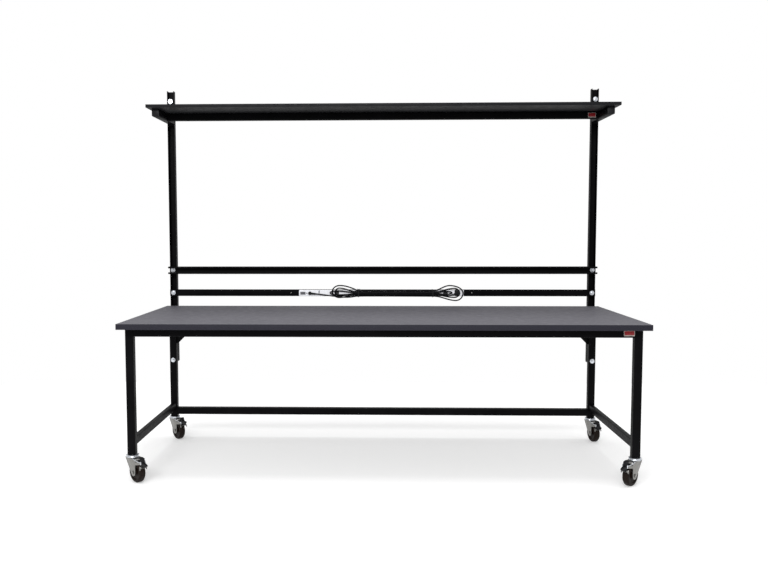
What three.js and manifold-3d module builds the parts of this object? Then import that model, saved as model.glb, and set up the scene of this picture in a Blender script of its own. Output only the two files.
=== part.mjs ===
// An antistatic workbench on four braked swivel casters, with two uprights that
// carry a shelf, an open channel rail and a flat rail with a power strip.
// Millimetres, +Z up. The worktop's front edge faces -Y. The origin is on the
// floor under the middle of the whole bench.

import * as THREE from 'three';
import { mergeVertices } from 'three/addons/utils/BufferGeometryUtils.js';
import Module from 'manifold-3d';

const wasm = await Module();
wasm.setup();

// Fits
const seat = 0.3;
const overrun = 2;
const weldTolerance = 1e-3;
const degree = Math.PI / 180;
const quarterTurn = Math.PI / 2;
const halfTurn = 2 * quarterTurn;
const fullTurn = 2 * halfTurn;
const cornerStepCount = 2;

// Worktop
const topWidth = 2438.4;
const topDepth = 914.4;
const topHeight = 755.65;
const topThickness = 26.2;
const laminateThickness = 0.8;
const edgeBandThickness = 2;
const topCornerRadius = 4;

// Square tube of the legs, and how far they stand in from the worktop's edges
const tube = 38.1;
const tubeWall = 3;
const tubeCorner = 4;
const legSideInset = 19.05;
const legFrontInset = 76.2;

// Rails and corner plates between the legs
const apronHeight = 41.3;
const railWidth = 25.4;
const railHeight = 38.1;
const railWall = 2;
const railCorner = 3;
const sideRailBottom = 164.5;
const stretcherBottom = 137.5;
const gussetLength = 145;
const gussetThickness = 4.8;
const gussetLand = 6;

// Uprights, and how far they reach down below the worktop's surface
const uprightLength = 1524;
const uprightBelowTop = 318.65;
const uprightWall = 3;
const legBoltUp = 12.7;

// Channel rail with returned lips, and flat rail, with the heights of their middles above
// the worktop's surface
const channelSize = 41.3;
const channelWall = 2.5;
const channelLip = 9.5;
const channelReturn = 7;
const channelAboveTop = 203.35;
const flatRailHeight = 38.1;
const flatRailThickness = 4.8;
const flatRailAboveTop = 74.85;

// Shelf and its brackets
const shelfDepth = 363;
const shelfThickness = 15.9;
const shelfAboveTop = 1077.05;
const shelfCornerRadius = 3;
const armSetback = 51;
const tongueHeight = 150;
const tongueBelowArm = 8;
const tongueWall = 3;
const tongueClearance = 0.5;
const shelfBoltDown = 57.5;
const beamSetback = 225;

// Bolts, each with a washer under its head and a nut behind
const boltRadius = 4.75;
const boltHoleRadius = 5.25;
const boltHeadRadius = 8.2;
const boltHeadHeight = 6;
const washerRadius = 12.7;
const washerThickness = 2;
const nutHeight = 8;
const boltTail = 2;
const boltSides = 12;
const washerSides = 16;
const hexSides = 6;

// Caster: crown with its stem and kingpin, fork, wheel and axle
const casterHeight = 127;
const turnedSides = 16;
const crownRadius = 30;
const crownThickness = 5.5;
const stemClearance = 0.45;
const stemLength = 60;
const bearingGap = 0.5;
const raceRadius = 28;
const raceThickness = 6;
const kingpinRadius = 6;
const kingpinNutRadius = 9.5;
const kingpinNutHeight = 5;
const runningClearance = 0.4;
const forkPlate = 3;
const forkInside = 41;
const forkBack = 24;
const forkBackDrop = 4;
const forkShoulder = 50;
const forkNoseReach = 95;
const forkNoseTop = 107;
const forkNoseBottom = 94;
const forkNoseInside = 19;
const forkDipReach = 86;
const forkDipTop = 105;
const forkThroat = 88;
const forkEndRadius = 18;
const forkStepCount = 8;
const trail = 42;
const axleHeight = 50.8;
const axleRadius = 4.7;
const axleHeadRadius = 8;
const axleHeadHeight = 4;
const wheelSides = 24;
const wheelWidth = 32;
const treadFlat = 18;
const treadDrop = 5;
const rimRadius = 36;
const rimRecess = 5;
const hubRadius = 13;
const hubWidth = 40;

// Brake pedal, given by reach from the swivel axis and by height, before it is tipped
const pedalReach = 66;
const pedalPivotHeight = 105.5;
const pedalHubRadius = 6;
const pedalPinRadius = 3;
const pedalEarReach = 90;
const pedalEarHeight = 124;
const pedalEarThickness = 4;
const pedalNotchReach = 93;
const pedalNotchHeight = 103;
const pedalTipReach = 126;
const pedalTipHeight = 93.5;
const pedalTipRadius = 4;
const pedalTipWidth = 9;
const pedalBellyReach = 98;
const pedalBellyHeight = 77;
const pedalThroatReach = 80;
const pedalThroatHeight = 97;

// Corners that the casters stand at, with swivel and pedal angles in degrees
const casterStands = [
  { name: 'front_left', side: -1, rear: false, swivel: 47, pedal: 0 },
  { name: 'front_right', side: 1, rear: false, swivel: -45, pedal: 0 },
  { name: 'rear_left', side: -1, rear: true, swivel: 42, pedal: 15 },
  { name: 'rear_right', side: 1, rear: true, swivel: 12.5, pedal: 0 },
];

// Power strip with outlets and a rocker switch in its front
const stripLength = 924;
const stripHeight = 34;
const stripDepth = 32;
const stripCorner = 3;
const outletCount = 7;
const outletPitch = 101.6;
const outletFromEnd = 102;
const outletWidth = 26;
const outletHeight = 29;
const outletRecess = 1.5;
const rockerFromEnd = 22;
const rockerLength = 26;
const rockerHeight = 13;
const rockerDepth = 9;
const rockerFoot = 20;
const rockerProud = 2.4;
const rockerMiddleProud = 0.8;
const rockerTilt = 7;
const rockerClearance = 0.6;
const pocketDepth = 12;

// Cord gland with its boot
const glandFromEnd = 61;
const glandRadius = 10;
const glandRim = 4;
const glandShoulder = 12;
const glandHeight = 15;
const glandTipRadius = 5;
const glandSides = 16;
const bootLength = 32;
const bootRadius = 6.2;
const bootTipRadius = 5;
const bootStandOff = 8.6;
const bootSlope = 5;

// Cord, the hank that it is folded into, and its ties
const cordDiameter = 7.3;
const cordGap = 0.6;
const cordApartCount = 8;
const leadSides = 8;
const leadStepCount = 16;
const hankSides = 6;
const bendStepCount = 5;
const foldStepCount = 6;
const waistLeft = -132;
const waistRight = 294;
const tieLeftX = -127;
const tieRightX = 288;
const tieWidth = 5;
const tieThickness = 1.2;
const tieCorner = 3;
const tieEarWidth = 3;
const tieEarHeight = 8;

// Plug
const plugX = 421;
const plugRise = 5.5;
const plugWidth = 25;
const plugHeight = 37;
const plugDepth = 16;
const plugCorner = 6;
const plugBootLength = 18;
const plugBootRadius = 6;
const plugBootTipRadius = 4.8;
const plugBootInset = 4.5;
const plugBootDrop = 6.5;
const plugBootSlope = 20;
const bladeLength = 17;
const bladeWidth = 6.4;
const bladeThickness = 1.6;
const bladeSpacing = 12.7;
const groundPinRadius = 2.4;
const groundPinDrop = 11.9;
const bladeRise = 5;

// Places worked out from the sizes above. Y is counted back from the worktop's front edge.
const legReach = topWidth / 2 - legSideInset - tube / 2;
const legInner = legReach - tube / 2;
const legFrontY = legFrontInset + tube / 2;
const legRearY = topDepth - tube / 2;
const legHollow = tube - 2 * tubeWall;
const legBottom = casterHeight + seat;
const topUnder = topHeight - topThickness;
const frameTop = topUnder - seat;
const apronBottom = frameTop - apronHeight;
const uprightFrontY = topDepth + seat;
const uprightRearY = uprightFrontY + tube;
const uprightWebY = uprightRearY - uprightWall;
const uprightBottom = topHeight - uprightBelowTop;
const uprightTop = uprightBottom + uprightLength;
const channelCentre = topHeight + channelAboveTop;
const flatRailCentre = topHeight + flatRailAboveTop;
const overallDepth = uprightRearY + seat + nutHeight + boltTail;
const legBoltZ = uprightBottom + legBoltUp;
const shelfBoltZ = uprightTop - shelfBoltDown;
const shelfTop = topHeight + shelfAboveTop;
const shelfUnder = shelfTop - shelfThickness;
const shelfFrontY = topDepth - shelfDepth;
const armTop = shelfUnder - seat;
const armCentre = armTop - tube / 2;
const crownBottom = casterHeight - crownThickness;
const raceTop = crownBottom - bearingGap;
const forkTop = raceTop - raceThickness;
const forkTopUnder = forkTop - forkPlate;
const forkWidth = forkInside + 2 * forkPlate;
const forkHornReach = trail + forkEndRadius;
const pedalWidth = forkNoseInside - 2 * runningClearance;
const flatRailFrontY = topDepth - flatRailThickness;
const stripRearY = flatRailFrontY - seat;
const stripFrontY = stripRearY - stripDepth;
const rockerX = -stripLength / 2 + rockerFromEnd;
const glandX = -stripLength / 2 + glandFromEnd;
const glandY = stripFrontY - seat;
const cordPitch = cordDiameter + cordGap;
const hankForward = seat + cordDiameter / 2;

// Finishes
function finish(color, roughness, metalness) {
  return new THREE.MeshStandardMaterial({ color, roughness, metalness });
}
const blackPowder = finish(0x17171a, 0.45, 0.1);
const zinc = finish(0xc3c7cc, 0.32, 0.9);
const greyLaminate = finish(0x6c696f, 0.6, 0);
const darkEdge = finish(0x35333b, 0.5, 0);
const particleBoard = finish(0x8a7355, 0.85, 0);
const shelfCoating = finish(0x2f2f33, 0.55, 0);
const tyreBrown = finish(0x2b211c, 0.5, 0);
const blackPlastic = finish(0x151517, 0.5, 0);
const whiteEnamel = finish(0xe8e8ee, 0.4, 0);
const cordBlack = finish(0x101014, 0.55, 0);

const axisX = new THREE.Vector3(1, 0, 0);
const axisY = new THREE.Vector3(0, 1, 0);
const axisZ = new THREE.Vector3(0, 0, 1);

// Merges equal corners, drops faces without area and turns all faces outward.
function closed(geometry) {
  geometry.deleteAttribute('normal');
  geometry.deleteAttribute('uv');
  const welded = mergeVertices(geometry, weldTolerance);
  const place = welded.getAttribute('position');
  const corner = (i) => new THREE.Vector3().fromBufferAttribute(place, i);
  const faces = [];
  let volume = 0;
  for (let i = 0; i < welded.index.count; i += 3) {
    const [a, b, c] = [0, 1, 2].map((k) => welded.index.getX(i + k));
    if (a !== b && b !== c && c !== a) {
      faces.push([a, b, c]);
      volume += corner(a).dot(corner(b).cross(corner(c)));
    }
  }
  const outward = volume < 0 ? faces.map(([a, b, c]) => [a, c, b]) : faces;
  welded.setIndex(outward.flat());
  return welded;
}

function toSolid(geometry) {
  const body = closed(geometry);
  return new wasm.Manifold(new wasm.Mesh({
    numProp: 3,
    vertProperties: new Float32Array(body.getAttribute('position').array),
    triVerts: new Uint32Array(body.index.array),
  }));
}

function toGeometry(solid) {
  const mesh = solid.getMesh();
  const corners = [];
  for (let i = 0; i < mesh.vertProperties.length; i += mesh.numProp) {
    corners.push(...mesh.vertProperties.slice(i, i + 3));
  }
  const geometry = new THREE.BufferGeometry();
  geometry.setAttribute('position', new THREE.Float32BufferAttribute(corners, 3));
  geometry.setIndex([...mesh.triVerts]);
  return geometry;
}

function join(...parts) {
  return toGeometry(parts.map(toSolid).reduce((whole, part) => whole.add(part)));
}

function cut(body, ...tools) {
  return toGeometry(tools.map(toSolid).reduce((rest, tool) => rest.subtract(tool), toSolid(body)));
}

function common(first, second) {
  return toGeometry(toSolid(first).intersect(toSolid(second)));
}

function extrude(shape, length) {
  const settings = { depth: length, bevelEnabled: false, curveSegments: cornerStepCount };
  return new THREE.ExtrudeGeometry(shape, settings);
}

// A profile drawn in Y and Z, extruded along X from x
function alongX(shape, x, length) {
  const basis = new THREE.Matrix4().makeBasis(axisY, axisZ, axisX);
  return extrude(shape, length).applyMatrix4(basis).translate(x, 0, 0);
}

// A profile drawn in Z and X, extruded along Y from y
function alongY(shape, y, length) {
  const basis = new THREE.Matrix4().makeBasis(axisZ, axisX, axisY);
  return extrude(shape, length).applyMatrix4(basis).translate(0, y, 0);
}

// A profile drawn in X and Y, extruded along Z from z
function alongZ(shape, z, length) {
  return extrude(shape, length).translate(0, 0, z);
}

// A block between two corners
function block([x0, y0, z0], [x1, y1, z1]) {
  const box = new THREE.BoxGeometry(x1 - x0, y1 - y0, z1 - z0);
  return box.translate((x0 + x1) / 2, (y0 + y1) / 2, (z0 + z1) / 2);
}

// A rectangle with round corners about the point (u, v), as a Shape or as a Path for a hole
function roundedRectangle(u, v, width, height, radius, Outline = THREE.Shape) {
  const reachU = width / 2 - radius;
  const reachV = height / 2 - radius;
  const outline = new Outline();
  outline.moveTo(u - reachU, v - height / 2);
  outline.lineTo(u + reachU, v - height / 2);
  outline.absarc(u + reachU, v - reachV, radius, -quarterTurn, 0, false);
  outline.lineTo(u + width / 2, v + reachV);
  outline.absarc(u + reachU, v + reachV, radius, 0, quarterTurn, false);
  outline.lineTo(u - reachU, v + height / 2);
  outline.absarc(u - reachU, v + reachV, radius, quarterTurn, halfTurn, false);
  outline.lineTo(u - width / 2, v - reachV);
  outline.absarc(u - reachU, v - reachV, radius, halfTurn, halfTurn + quarterTurn, false);
  return outline;
}

// The section of a rectangular tube about the point (u, v)
function tubeSection(u, v, width, height, wall, radius) {
  const section = roundedRectangle(u, v, width, height, radius);
  const [innerWidth, innerHeight] = [width - 2 * wall, height - 2 * wall];
  section.holes.push(roundedRectangle(u, v, innerWidth, innerHeight, radius / 2, THREE.Path));
  return section;
}

function polygon(points) {
  return new THREE.Shape(points.map(([u, v]) => new THREE.Vector2(u, v)));
}

// A turned piece about Z from a profile of [radius, z] points
function turnedZ(profile, sides, start = 0) {
  const points = profile.map(([radius, z]) => new THREE.Vector2(radius, z));
  return new THREE.LatheGeometry(points, sides, start).rotateX(quarterTurn);
}

// A turned piece about X from a profile of [radius, x] points
function turnedX(profile, sides, start = 0) {
  return turnedZ(profile, sides, start).rotateY(quarterTurn);
}

// A round or six-sided bar between two places along one axis
function barY(radius, x, z, y0, y1, sides = boltSides) {
  return new THREE.CylinderGeometry(radius, radius, y1 - y0, sides).translate(x, (y0 + y1) / 2, z);
}

function barX(radius, y, z, x0, x1, sides = boltSides) {
  const bar = new THREE.CylinderGeometry(radius, radius, x1 - x0, sides).rotateZ(quarterTurn);
  return bar.translate((x0 + x1) / 2, y, z);
}

// A cone along X from the origin, from one radius to another
function taperX(radius, tipRadius, length, sides) {
  const cone = new THREE.CylinderGeometry(tipRadius, radius, length, sides).rotateZ(-quarterTurn);
  return cone.translate(length / 2, 0, 0);
}

const bench = new THREE.Group();
const frame = new THREE.Group();
frame.position.y = -overallDepth / 2;
bench.add(frame);

function piece(name, geometry, material, parent = frame) {
  const mesh = new THREE.Mesh(closed(geometry), material);
  mesh.name = name;
  parent.add(mesh);
}

// Worktop: a core under a thin laminate, both inside a band round the edge
function worktop() {
  const inside = edgeBandThickness + seat;
  const middleY = topDepth / 2;
  const plan = (inset, Outline) => roundedRectangle(0, middleY, topWidth - 2 * inset,
    topDepth - 2 * inset, topCornerRadius, Outline);
  const band = plan(0);
  band.holes.push(plan(edgeBandThickness, THREE.Path));
  const laminateUnder = topHeight - laminateThickness;
  piece('worktop_edge_band', alongZ(band, topUnder, topThickness), darkEdge);
  piece('worktop_core', alongZ(plan(inside), topUnder, laminateUnder - seat - topUnder), particleBoard);
  piece('worktop_laminate', alongZ(plan(inside), laminateUnder, laminateThickness), greyLaminate);
}

// Legs: the rear ones are drilled through for the bolts that hold the uprights
function legs() {
  for (const [name, side] of [['left', -1], ['right', 1]]) {
    const x = side * legReach;
    const leg = (y) => {
      const section = tubeSection(x, y, tube, tube, tubeWall, tubeCorner);
      return alongZ(section, legBottom, frameTop - legBottom);
    };
    const hole = barY(boltHoleRadius, x, legBoltZ, legRearY - tube, legRearY + tube);
    piece(`front_${name}_leg`, leg(legFrontY), blackPowder);
    piece(`rear_${name}_leg`, cut(leg(legRearY), hole), blackPowder);
  }
}

// Aprons flush with the outer faces of the legs, lower rails and the corner plates
function lowerFrame() {
  const apronCentre = frameTop - apronHeight / 2;
  const inset = tube / 2 - railWidth / 2;
  const acrossFrom = -legInner + seat;
  const acrossLength = 2 * (legInner - seat);
  const alongFrom = legFrontY + tube / 2 + seat;
  const alongLength = legRearY - tube / 2 - seat - alongFrom;
  const apronAcross = (y) => {
    const section = tubeSection(y, apronCentre, railWidth, apronHeight, railWall, railCorner);
    return alongX(section, acrossFrom, acrossLength);
  };
  piece('front_apron', apronAcross(legFrontY - inset), blackPowder);
  piece('rear_apron', apronAcross(legRearY + inset), blackPowder);

  const stretcherCentre = stretcherBottom + tube / 2;
  const stretcher = tubeSection(legRearY, stretcherCentre, tube, tube, tubeWall, tubeCorner);
  piece('rear_stretcher', alongX(stretcher, acrossFrom, acrossLength), blackPowder);

  for (const [name, side] of [['left', -1], ['right', 1]]) {
    const apronX = side * (legReach + inset);
    const apron = tubeSection(apronCentre, apronX, apronHeight, railWidth, railWall, railCorner);
    piece(`${name}_apron`, alongY(apron, alongFrom, alongLength), blackPowder);

    const railCentre = sideRailBottom + railHeight / 2;
    const rail = tubeSection(railCentre, side * legReach, railHeight, railWidth, railWall, railCorner);
    piece(`${name}_side_rail`, alongY(rail, alongFrom, alongLength), blackPowder);

    const cornerX = side * (legInner - seat);
    const cornerZ = apronBottom - seat;
    const plate = polygon([
      [cornerZ, cornerX],
      [cornerZ - gussetLength, cornerX],
      [cornerZ - gussetLength, cornerX - side * gussetLand],
      [cornerZ - gussetLand, cornerX - side * gussetLength],
      [cornerZ, cornerX - side * gussetLength],
    ]);
    const plateY = legRearY - gussetThickness / 2;
    piece(`${name}_knee_plate`, alongY(plate, plateY, gussetThickness), blackPowder);
  }
}

// Uprights: plain channels open to the front, bolted behind the rear legs
function uprights() {
  for (const [name, side] of [['left', -1], ['right', 1]]) {
    const x = side * legReach;
    const outer = tube / 2;
    const inner = outer - uprightWall;
    const section = polygon([
      [x - outer, uprightFrontY],
      [x - inner, uprightFrontY],
      [x - inner, uprightWebY],
      [x + inner, uprightWebY],
      [x + inner, uprightFrontY],
      [x + outer, uprightFrontY],
      [x + outer, uprightRearY],
      [x - outer, uprightRearY],
    ]);
    const channel = alongZ(section, uprightBottom, uprightLength);
    const holes = [legBoltZ, flatRailCentre, channelCentre, shelfBoltZ].map((z) => (
      barY(boltHoleRadius, x, z, uprightWebY - overrun, uprightRearY + overrun)));
    piece(`${name}_upright`, cut(channel, ...holes), blackPowder);
  }
}

// Rails that lie across the fronts of the uprights
function rails() {
  const length = 2 * legReach + tube;
  const holes = (z, y0, y1) => [-legReach, legReach].map((x) => barY(boltHoleRadius, x, z, y0, y1));

  const half = channelSize / 2;
  const lip = half - channelLip;
  const front = topDepth - channelSize;
  const quarter = [
    [topDepth, half],
    [front, half],
    [front, lip],
    [front + channelReturn, lip],
    [front + channelReturn, lip + channelWall],
    [front + channelWall, lip + channelWall],
    [front + channelWall, half - channelWall],
    [topDepth - channelWall, half - channelWall],
  ];
  const lower = quarter.map(([y, z]) => [y, -z]).reverse();
  const section = polygon([...quarter, ...lower].map(([y, z]) => [y, channelCentre + z]));
  const channel = alongX(section, -length / 2, length);
  const webFront = topDepth - channelWall - overrun;
  piece('upper_rail', cut(channel, ...holes(channelCentre, webFront, topDepth + overrun)), blackPowder);

  const bar = block(
    [-length / 2, flatRailFrontY, flatRailCentre - flatRailHeight / 2],
    [length / 2, topDepth, flatRailCentre + flatRailHeight / 2],
  );
  const barHoles = holes(flatRailCentre, flatRailFrontY - overrun, topDepth + overrun);
  piece('lower_rail', cut(bar, ...barHoles), blackPowder);
}

// Shelf board on two arms, each with a tongue that stands inside its upright
function shelf() {
  const plan = roundedRectangle(0, topDepth - shelfDepth / 2, topWidth, shelfDepth, shelfCornerRadius);
  piece('shelf_board', alongZ(plan, shelfUnder, shelfThickness), shelfCoating);

  const tongueWidth = tube - 2 * uprightWall - 2 * tongueClearance;
  const tongueDepth = uprightWebY - tongueClearance - uprightFrontY;
  const tongueBottom = armTop - tube - tongueBelowArm;
  const armFrontY = shelfFrontY + armSetback;
  for (const [name, side] of [['left', -1], ['right', 1]]) {
    const x = side * legReach;
    const armSection = tubeSection(armCentre, x, tube, tube, tubeWall, tubeCorner);
    const arm = alongY(armSection, armFrontY, topDepth - armFrontY);
    const tongueY = uprightFrontY + tongueDepth / 2;
    const tongueSection = tubeSection(x, tongueY, tongueWidth, tongueDepth, tongueWall, tongueWall / 2);
    const tongue = alongZ(tongueSection, tongueBottom, tongueHeight);
    const web = block(
      [x - tongueWidth / 2 + tongueWall, topDepth - tongueWall, armTop - tube + tongueWall],
      [x + tongueWidth / 2 - tongueWall, uprightFrontY + tongueWall, armTop - tongueWall],
    );
    const cap = block(
      [x - tube / 2 + tubeWall / 2, topDepth - tongueWall, armTop - tube + tubeWall / 2],
      [x + tube / 2 - tubeWall / 2, topDepth, armTop - tubeWall / 2],
    );
    const hole = barY(boltHoleRadius, x, shelfBoltZ, uprightFrontY - overrun, uprightRearY);
    piece(`${name}_shelf_arm`, cut(join(arm, cap, web, tongue), hole), blackPowder);
  }

  const beamFrom = -legInner + seat;
  const beamY = shelfFrontY + beamSetback + railWidth / 2;
  const beam = tubeSection(beamY, armCentre, railWidth, tube, railWall, railCorner);
  piece('shelf_beam', alongX(beam, beamFrom, -2 * beamFrom), blackPowder);
}

// A bolt from the front face of what it holds to a nut behind the upright
function bolt(name, x, z, frontY) {
  const washerBack = frontY - seat;
  const washerFront = washerBack - washerThickness;
  const headFront = washerFront - boltHeadHeight;
  const nutFront = uprightRearY + seat;
  piece(name, join(
    barY(boltRadius, x, z, washerFront, overallDepth),
    barY(washerRadius, x, z, washerFront, washerBack, washerSides),
    barY(boltHeadRadius, x, z, headFront, washerFront + washerThickness / 2, hexSides),
    barY(boltHeadRadius, x, z, nutFront, nutFront + nutHeight, hexSides),
  ), zinc);
}

function bolts() {
  for (const [name, side] of [['left', -1], ['right', 1]]) {
    const x = side * legReach;
    bolt(`${name}_leg_bolt`, x, legBoltZ, legRearY - tube / 2);
    bolt(`${name}_lower_rail_bolt`, x, flatRailCentre, flatRailFrontY);
    bolt(`${name}_upper_rail_bolt`, x, channelCentre, topDepth - channelWall);
    bolt(`${name}_shelf_bolt`, x, shelfBoltZ, uprightFrontY);
  }
}

// Caster pieces are drawn about the swivel axis, with the wheel trailing towards -Y.
// The crown, the stem in the leg and the kingpin are one turned piece.
function stemCrown() {
  const nutTop = forkTopUnder - bearingGap;
  const stemRadius = legHollow / 2 - stemClearance;
  return turnedZ([
    [0, nutTop - kingpinNutHeight],
    [kingpinNutRadius, nutTop - kingpinNutHeight],
    [kingpinNutRadius, nutTop],
    [kingpinRadius, nutTop],
    [kingpinRadius, crownBottom],
    [crownRadius, crownBottom],
    [crownRadius, casterHeight],
    [stemRadius, casterHeight],
    [stemRadius, casterHeight + stemLength],
    [0, casterHeight + stemLength],
  ], turnedSides);
}

// Half the space between the horns at a reach, as they close in towards the nose
function hornInside(reach) {
  return THREE.MathUtils.mapLinear(reach, forkHornReach, forkNoseReach, forkInside / 2, forkNoseInside / 2);
}

// Two cheeks under a top plate, with the lower race on it
function fork() {
  const backHeight = forkTop - forkBackDrop;
  const backRun = forkBack + trail;
  const backRise = backHeight - axleHeight;
  const tangent = Math.atan2(backRise, backRun) - Math.acos(forkEndRadius / Math.hypot(backRun, backRise));
  const cheek = new THREE.Shape();
  cheek.moveTo(-forkShoulder, forkTop);
  cheek.lineTo(forkBack, forkTop);
  cheek.lineTo(forkBack, backHeight);
  cheek.absarc(-trail, axleHeight, forkEndRadius, tangent, -halfTurn, true);
  cheek.lineTo(-forkHornReach, forkThroat);
  cheek.lineTo(-forkNoseReach, forkNoseBottom);
  cheek.lineTo(-forkNoseReach, forkNoseTop);
  cheek.lineTo(-forkDipReach, forkDipTop);
  const profile = new THREE.ExtrudeGeometry(cheek, {
    depth: forkWidth, bevelEnabled: false, curveSegments: forkStepCount,
  });
  const basis = new THREE.Matrix4().makeBasis(axisY, axisZ, axisX);
  profile.applyMatrix4(basis).translate(-forkWidth / 2, 0, 0);

  // The plan between the cheeks' inner or outer faces, which close in along the horns
  const noseEnd = forkNoseReach + overrun;
  const plan = (back, plate) => polygon([
    [forkInside / 2 + plate, back],
    [forkInside / 2 + plate, -forkHornReach],
    [hornInside(noseEnd) + plate, -noseEnd],
    [-hornInside(noseEnd) - plate, -noseEnd],
    [-forkInside / 2 - plate, -forkHornReach],
    [-forkInside / 2 - plate, back],
  ]);
  const plates = common(profile, alongZ(plan(forkBack + overrun, forkPlate), 0, forkTop + overrun));
  const between = alongZ(plan(forkBack + overrun, 0), 0, forkTopUnder);
  const bay = alongZ(plan(-forkShoulder, 0), axleHeight, forkTop + overrun - axleHeight);
  const holeReach = forkWidth / 2 + overrun;
  const axleHole = barX(axleRadius + seat, -trail, axleHeight, -holeReach, holeReach);
  const pinHole = barX(pedalPinRadius + runningClearance, -pedalReach, pedalPivotHeight, -holeReach, holeReach);
  const race = turnedZ([
    [0, forkTop - forkPlate / 2],
    [raceRadius, forkTop - forkPlate / 2],
    [raceRadius, raceTop],
    [0, raceTop],
  ], turnedSides);
  const kingpinHole = turnedZ([
    [0, forkTopUnder - overrun],
    [kingpinRadius + runningClearance, forkTopUnder - overrun],
    [kingpinRadius + runningClearance, raceTop + overrun],
    [0, raceTop + overrun],
  ], turnedSides);
  return cut(join(cut(plates, between, bay, axleHole, pinHole), race), kingpinHole);
}

// A wheel about X, turned so that a flat of its tread is level underneath
function wheel() {
  const tread = axleHeight / Math.cos(halfTurn / wheelSides);
  const bore = axleRadius + runningClearance;
  const web = wheelWidth / 2 - rimRecess;
  const half = [
    [bore, hubWidth / 2],
    [hubRadius, hubWidth / 2],
    [hubRadius, web],
    [rimRadius, web],
    [rimRadius, wheelWidth / 2],
    [tread - treadDrop, wheelWidth / 2],
    [tread, treadFlat / 2],
  ];
  const mirrored = half.map(([radius, x]) => [radius, -x]).reverse();
  return turnedX([...half, ...mirrored, half[0]], wheelSides, halfTurn / wheelSides);
}

function axle() {
  const cheekFace = forkWidth / 2 + seat;
  const end = cheekFace + axleHeadHeight;
  return turnedX([
    [0, -end],
    [axleHeadRadius, -end],
    [axleHeadRadius, -cheekFace],
    [axleRadius, -cheekFace],
    [axleRadius, cheekFace],
    [axleHeadRadius, cheekFace],
    [axleHeadRadius, end],
    [0, end],
  ], boltSides);
}

// A pedal on its pin, about the pin: an ear to release it and a tongue to press
function brakePedal() {
  const outline = new THREE.Shape();
  outline.moveTo(-pedalReach, pedalPivotHeight + pedalHubRadius);
  outline.lineTo(-pedalEarReach, pedalEarHeight);
  outline.lineTo(-pedalEarReach - pedalEarThickness, pedalEarHeight - pedalEarThickness);
  outline.lineTo(-pedalNotchReach, pedalNotchHeight);
  outline.absarc(-pedalTipReach, pedalTipHeight, pedalTipRadius, quarterTurn, halfTurn + quarterTurn, false);
  outline.lineTo(-pedalBellyReach, pedalBellyHeight);
  outline.lineTo(-pedalThroatReach, pedalThroatHeight);
  outline.lineTo(-pedalReach, pedalPivotHeight - pedalHubRadius);
  const side = alongX(outline, -pedalWidth / 2, pedalWidth);

  const [neck, tip] = [pedalWidth / 2, pedalTipWidth / 2];
  const tipEnd = pedalTipReach + pedalTipRadius;
  const plan = polygon([
    [-neck, overrun - pedalReach],
    [-neck, -pedalNotchReach],
    [-tip, -pedalTipReach],
    [-tip / 2, -tipEnd],
    [tip / 2, -tipEnd],
    [tip, -pedalTipReach],
    [neck, -pedalNotchReach],
    [neck, overrun - pedalReach],
  ]);
  const planBottom = Math.min(pedalTipHeight - pedalTipRadius, pedalBellyHeight) - overrun;
  const top = alongZ(plan, planBottom, pedalEarHeight + overrun - planBottom);
  const hubReach = hornInside(pedalReach + pedalHubRadius) - seat;
  const pinReach = hornInside(pedalReach) + forkPlate;
  return join(
    common(side, top),
    barX(pedalHubRadius, -pedalReach, pedalPivotHeight, -hubReach, hubReach),
    barX(pedalPinRadius, -pedalReach, pedalPivotHeight, -pinReach, pinReach),
  ).translate(0, pedalReach, -pedalPivotHeight);
}

function casters() {
  for (const { name, side, rear, swivel, pedal } of casterStands) {
    const stand = new THREE.Group();
    stand.position.set(side * legReach, rear ? legRearY : legFrontY, 0);
    stand.rotation.z = swivel * degree;
    frame.add(stand);
    piece(`${name}_stem_crown`, stemCrown(), zinc, stand);
    piece(`${name}_fork`, fork(), zinc, stand);

    const wheelPlace = new THREE.Group();
    wheelPlace.position.set(0, -trail, axleHeight);
    stand.add(wheelPlace);
    piece(`${name}_wheel`, wheel(), tyreBrown, wheelPlace);
    piece(`${name}_axle`, axle(), zinc, wheelPlace);

    const pedalPlace = new THREE.Group();
    pedalPlace.position.set(0, -pedalReach, pedalPivotHeight);
    pedalPlace.rotation.x = -pedal * degree;
    stand.add(pedalPlace);
    piece(`${name}_brake_pedal`, brakePedal(), blackPlastic, pedalPlace);
  }
}

// Power strip: a case with shallow outlets and a pocket for the rocker
function powerStrip() {
  const middleY = stripRearY - stripDepth / 2;
  const section = roundedRectangle(middleY, flatRailCentre, stripDepth, stripHeight, stripCorner);
  const body = alongX(section, -stripLength / 2, stripLength);
  const recess = (x, width, height, depth) => block(
    [x - width / 2, stripFrontY - overrun, flatRailCentre - height / 2],
    [x + width / 2, stripFrontY + depth, flatRailCentre + height / 2],
  );
  const lastOutlet = stripLength / 2 - outletFromEnd;
  const outlets = Array.from({ length: outletCount }, (_, k) => (
    recess(lastOutlet - k * outletPitch, outletWidth, outletHeight, outletRecess)));
  const pocket = recess(rockerX, rockerLength + 2 * rockerClearance,
    rockerHeight + 2 * rockerClearance, pocketDepth);
  piece('strip_housing', cut(body, pocket, ...outlets), whiteEnamel);

  const [half, foot] = [rockerLength / 2, rockerFoot / 2];
  const rocker = alongZ(polygon([
    [-half, -rockerProud],
    [0, -rockerMiddleProud],
    [half, -rockerProud],
    [foot, rockerDepth],
    [-foot, rockerDepth],
  ]), -rockerHeight / 2, rockerHeight);
  const place = new THREE.Group();
  place.position.set(rockerX, stripFrontY, flatRailCentre);
  place.rotation.z = rockerTilt * degree;
  frame.add(place);
  piece('rocker_switch', rocker, blackPlastic, place);
}

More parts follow.
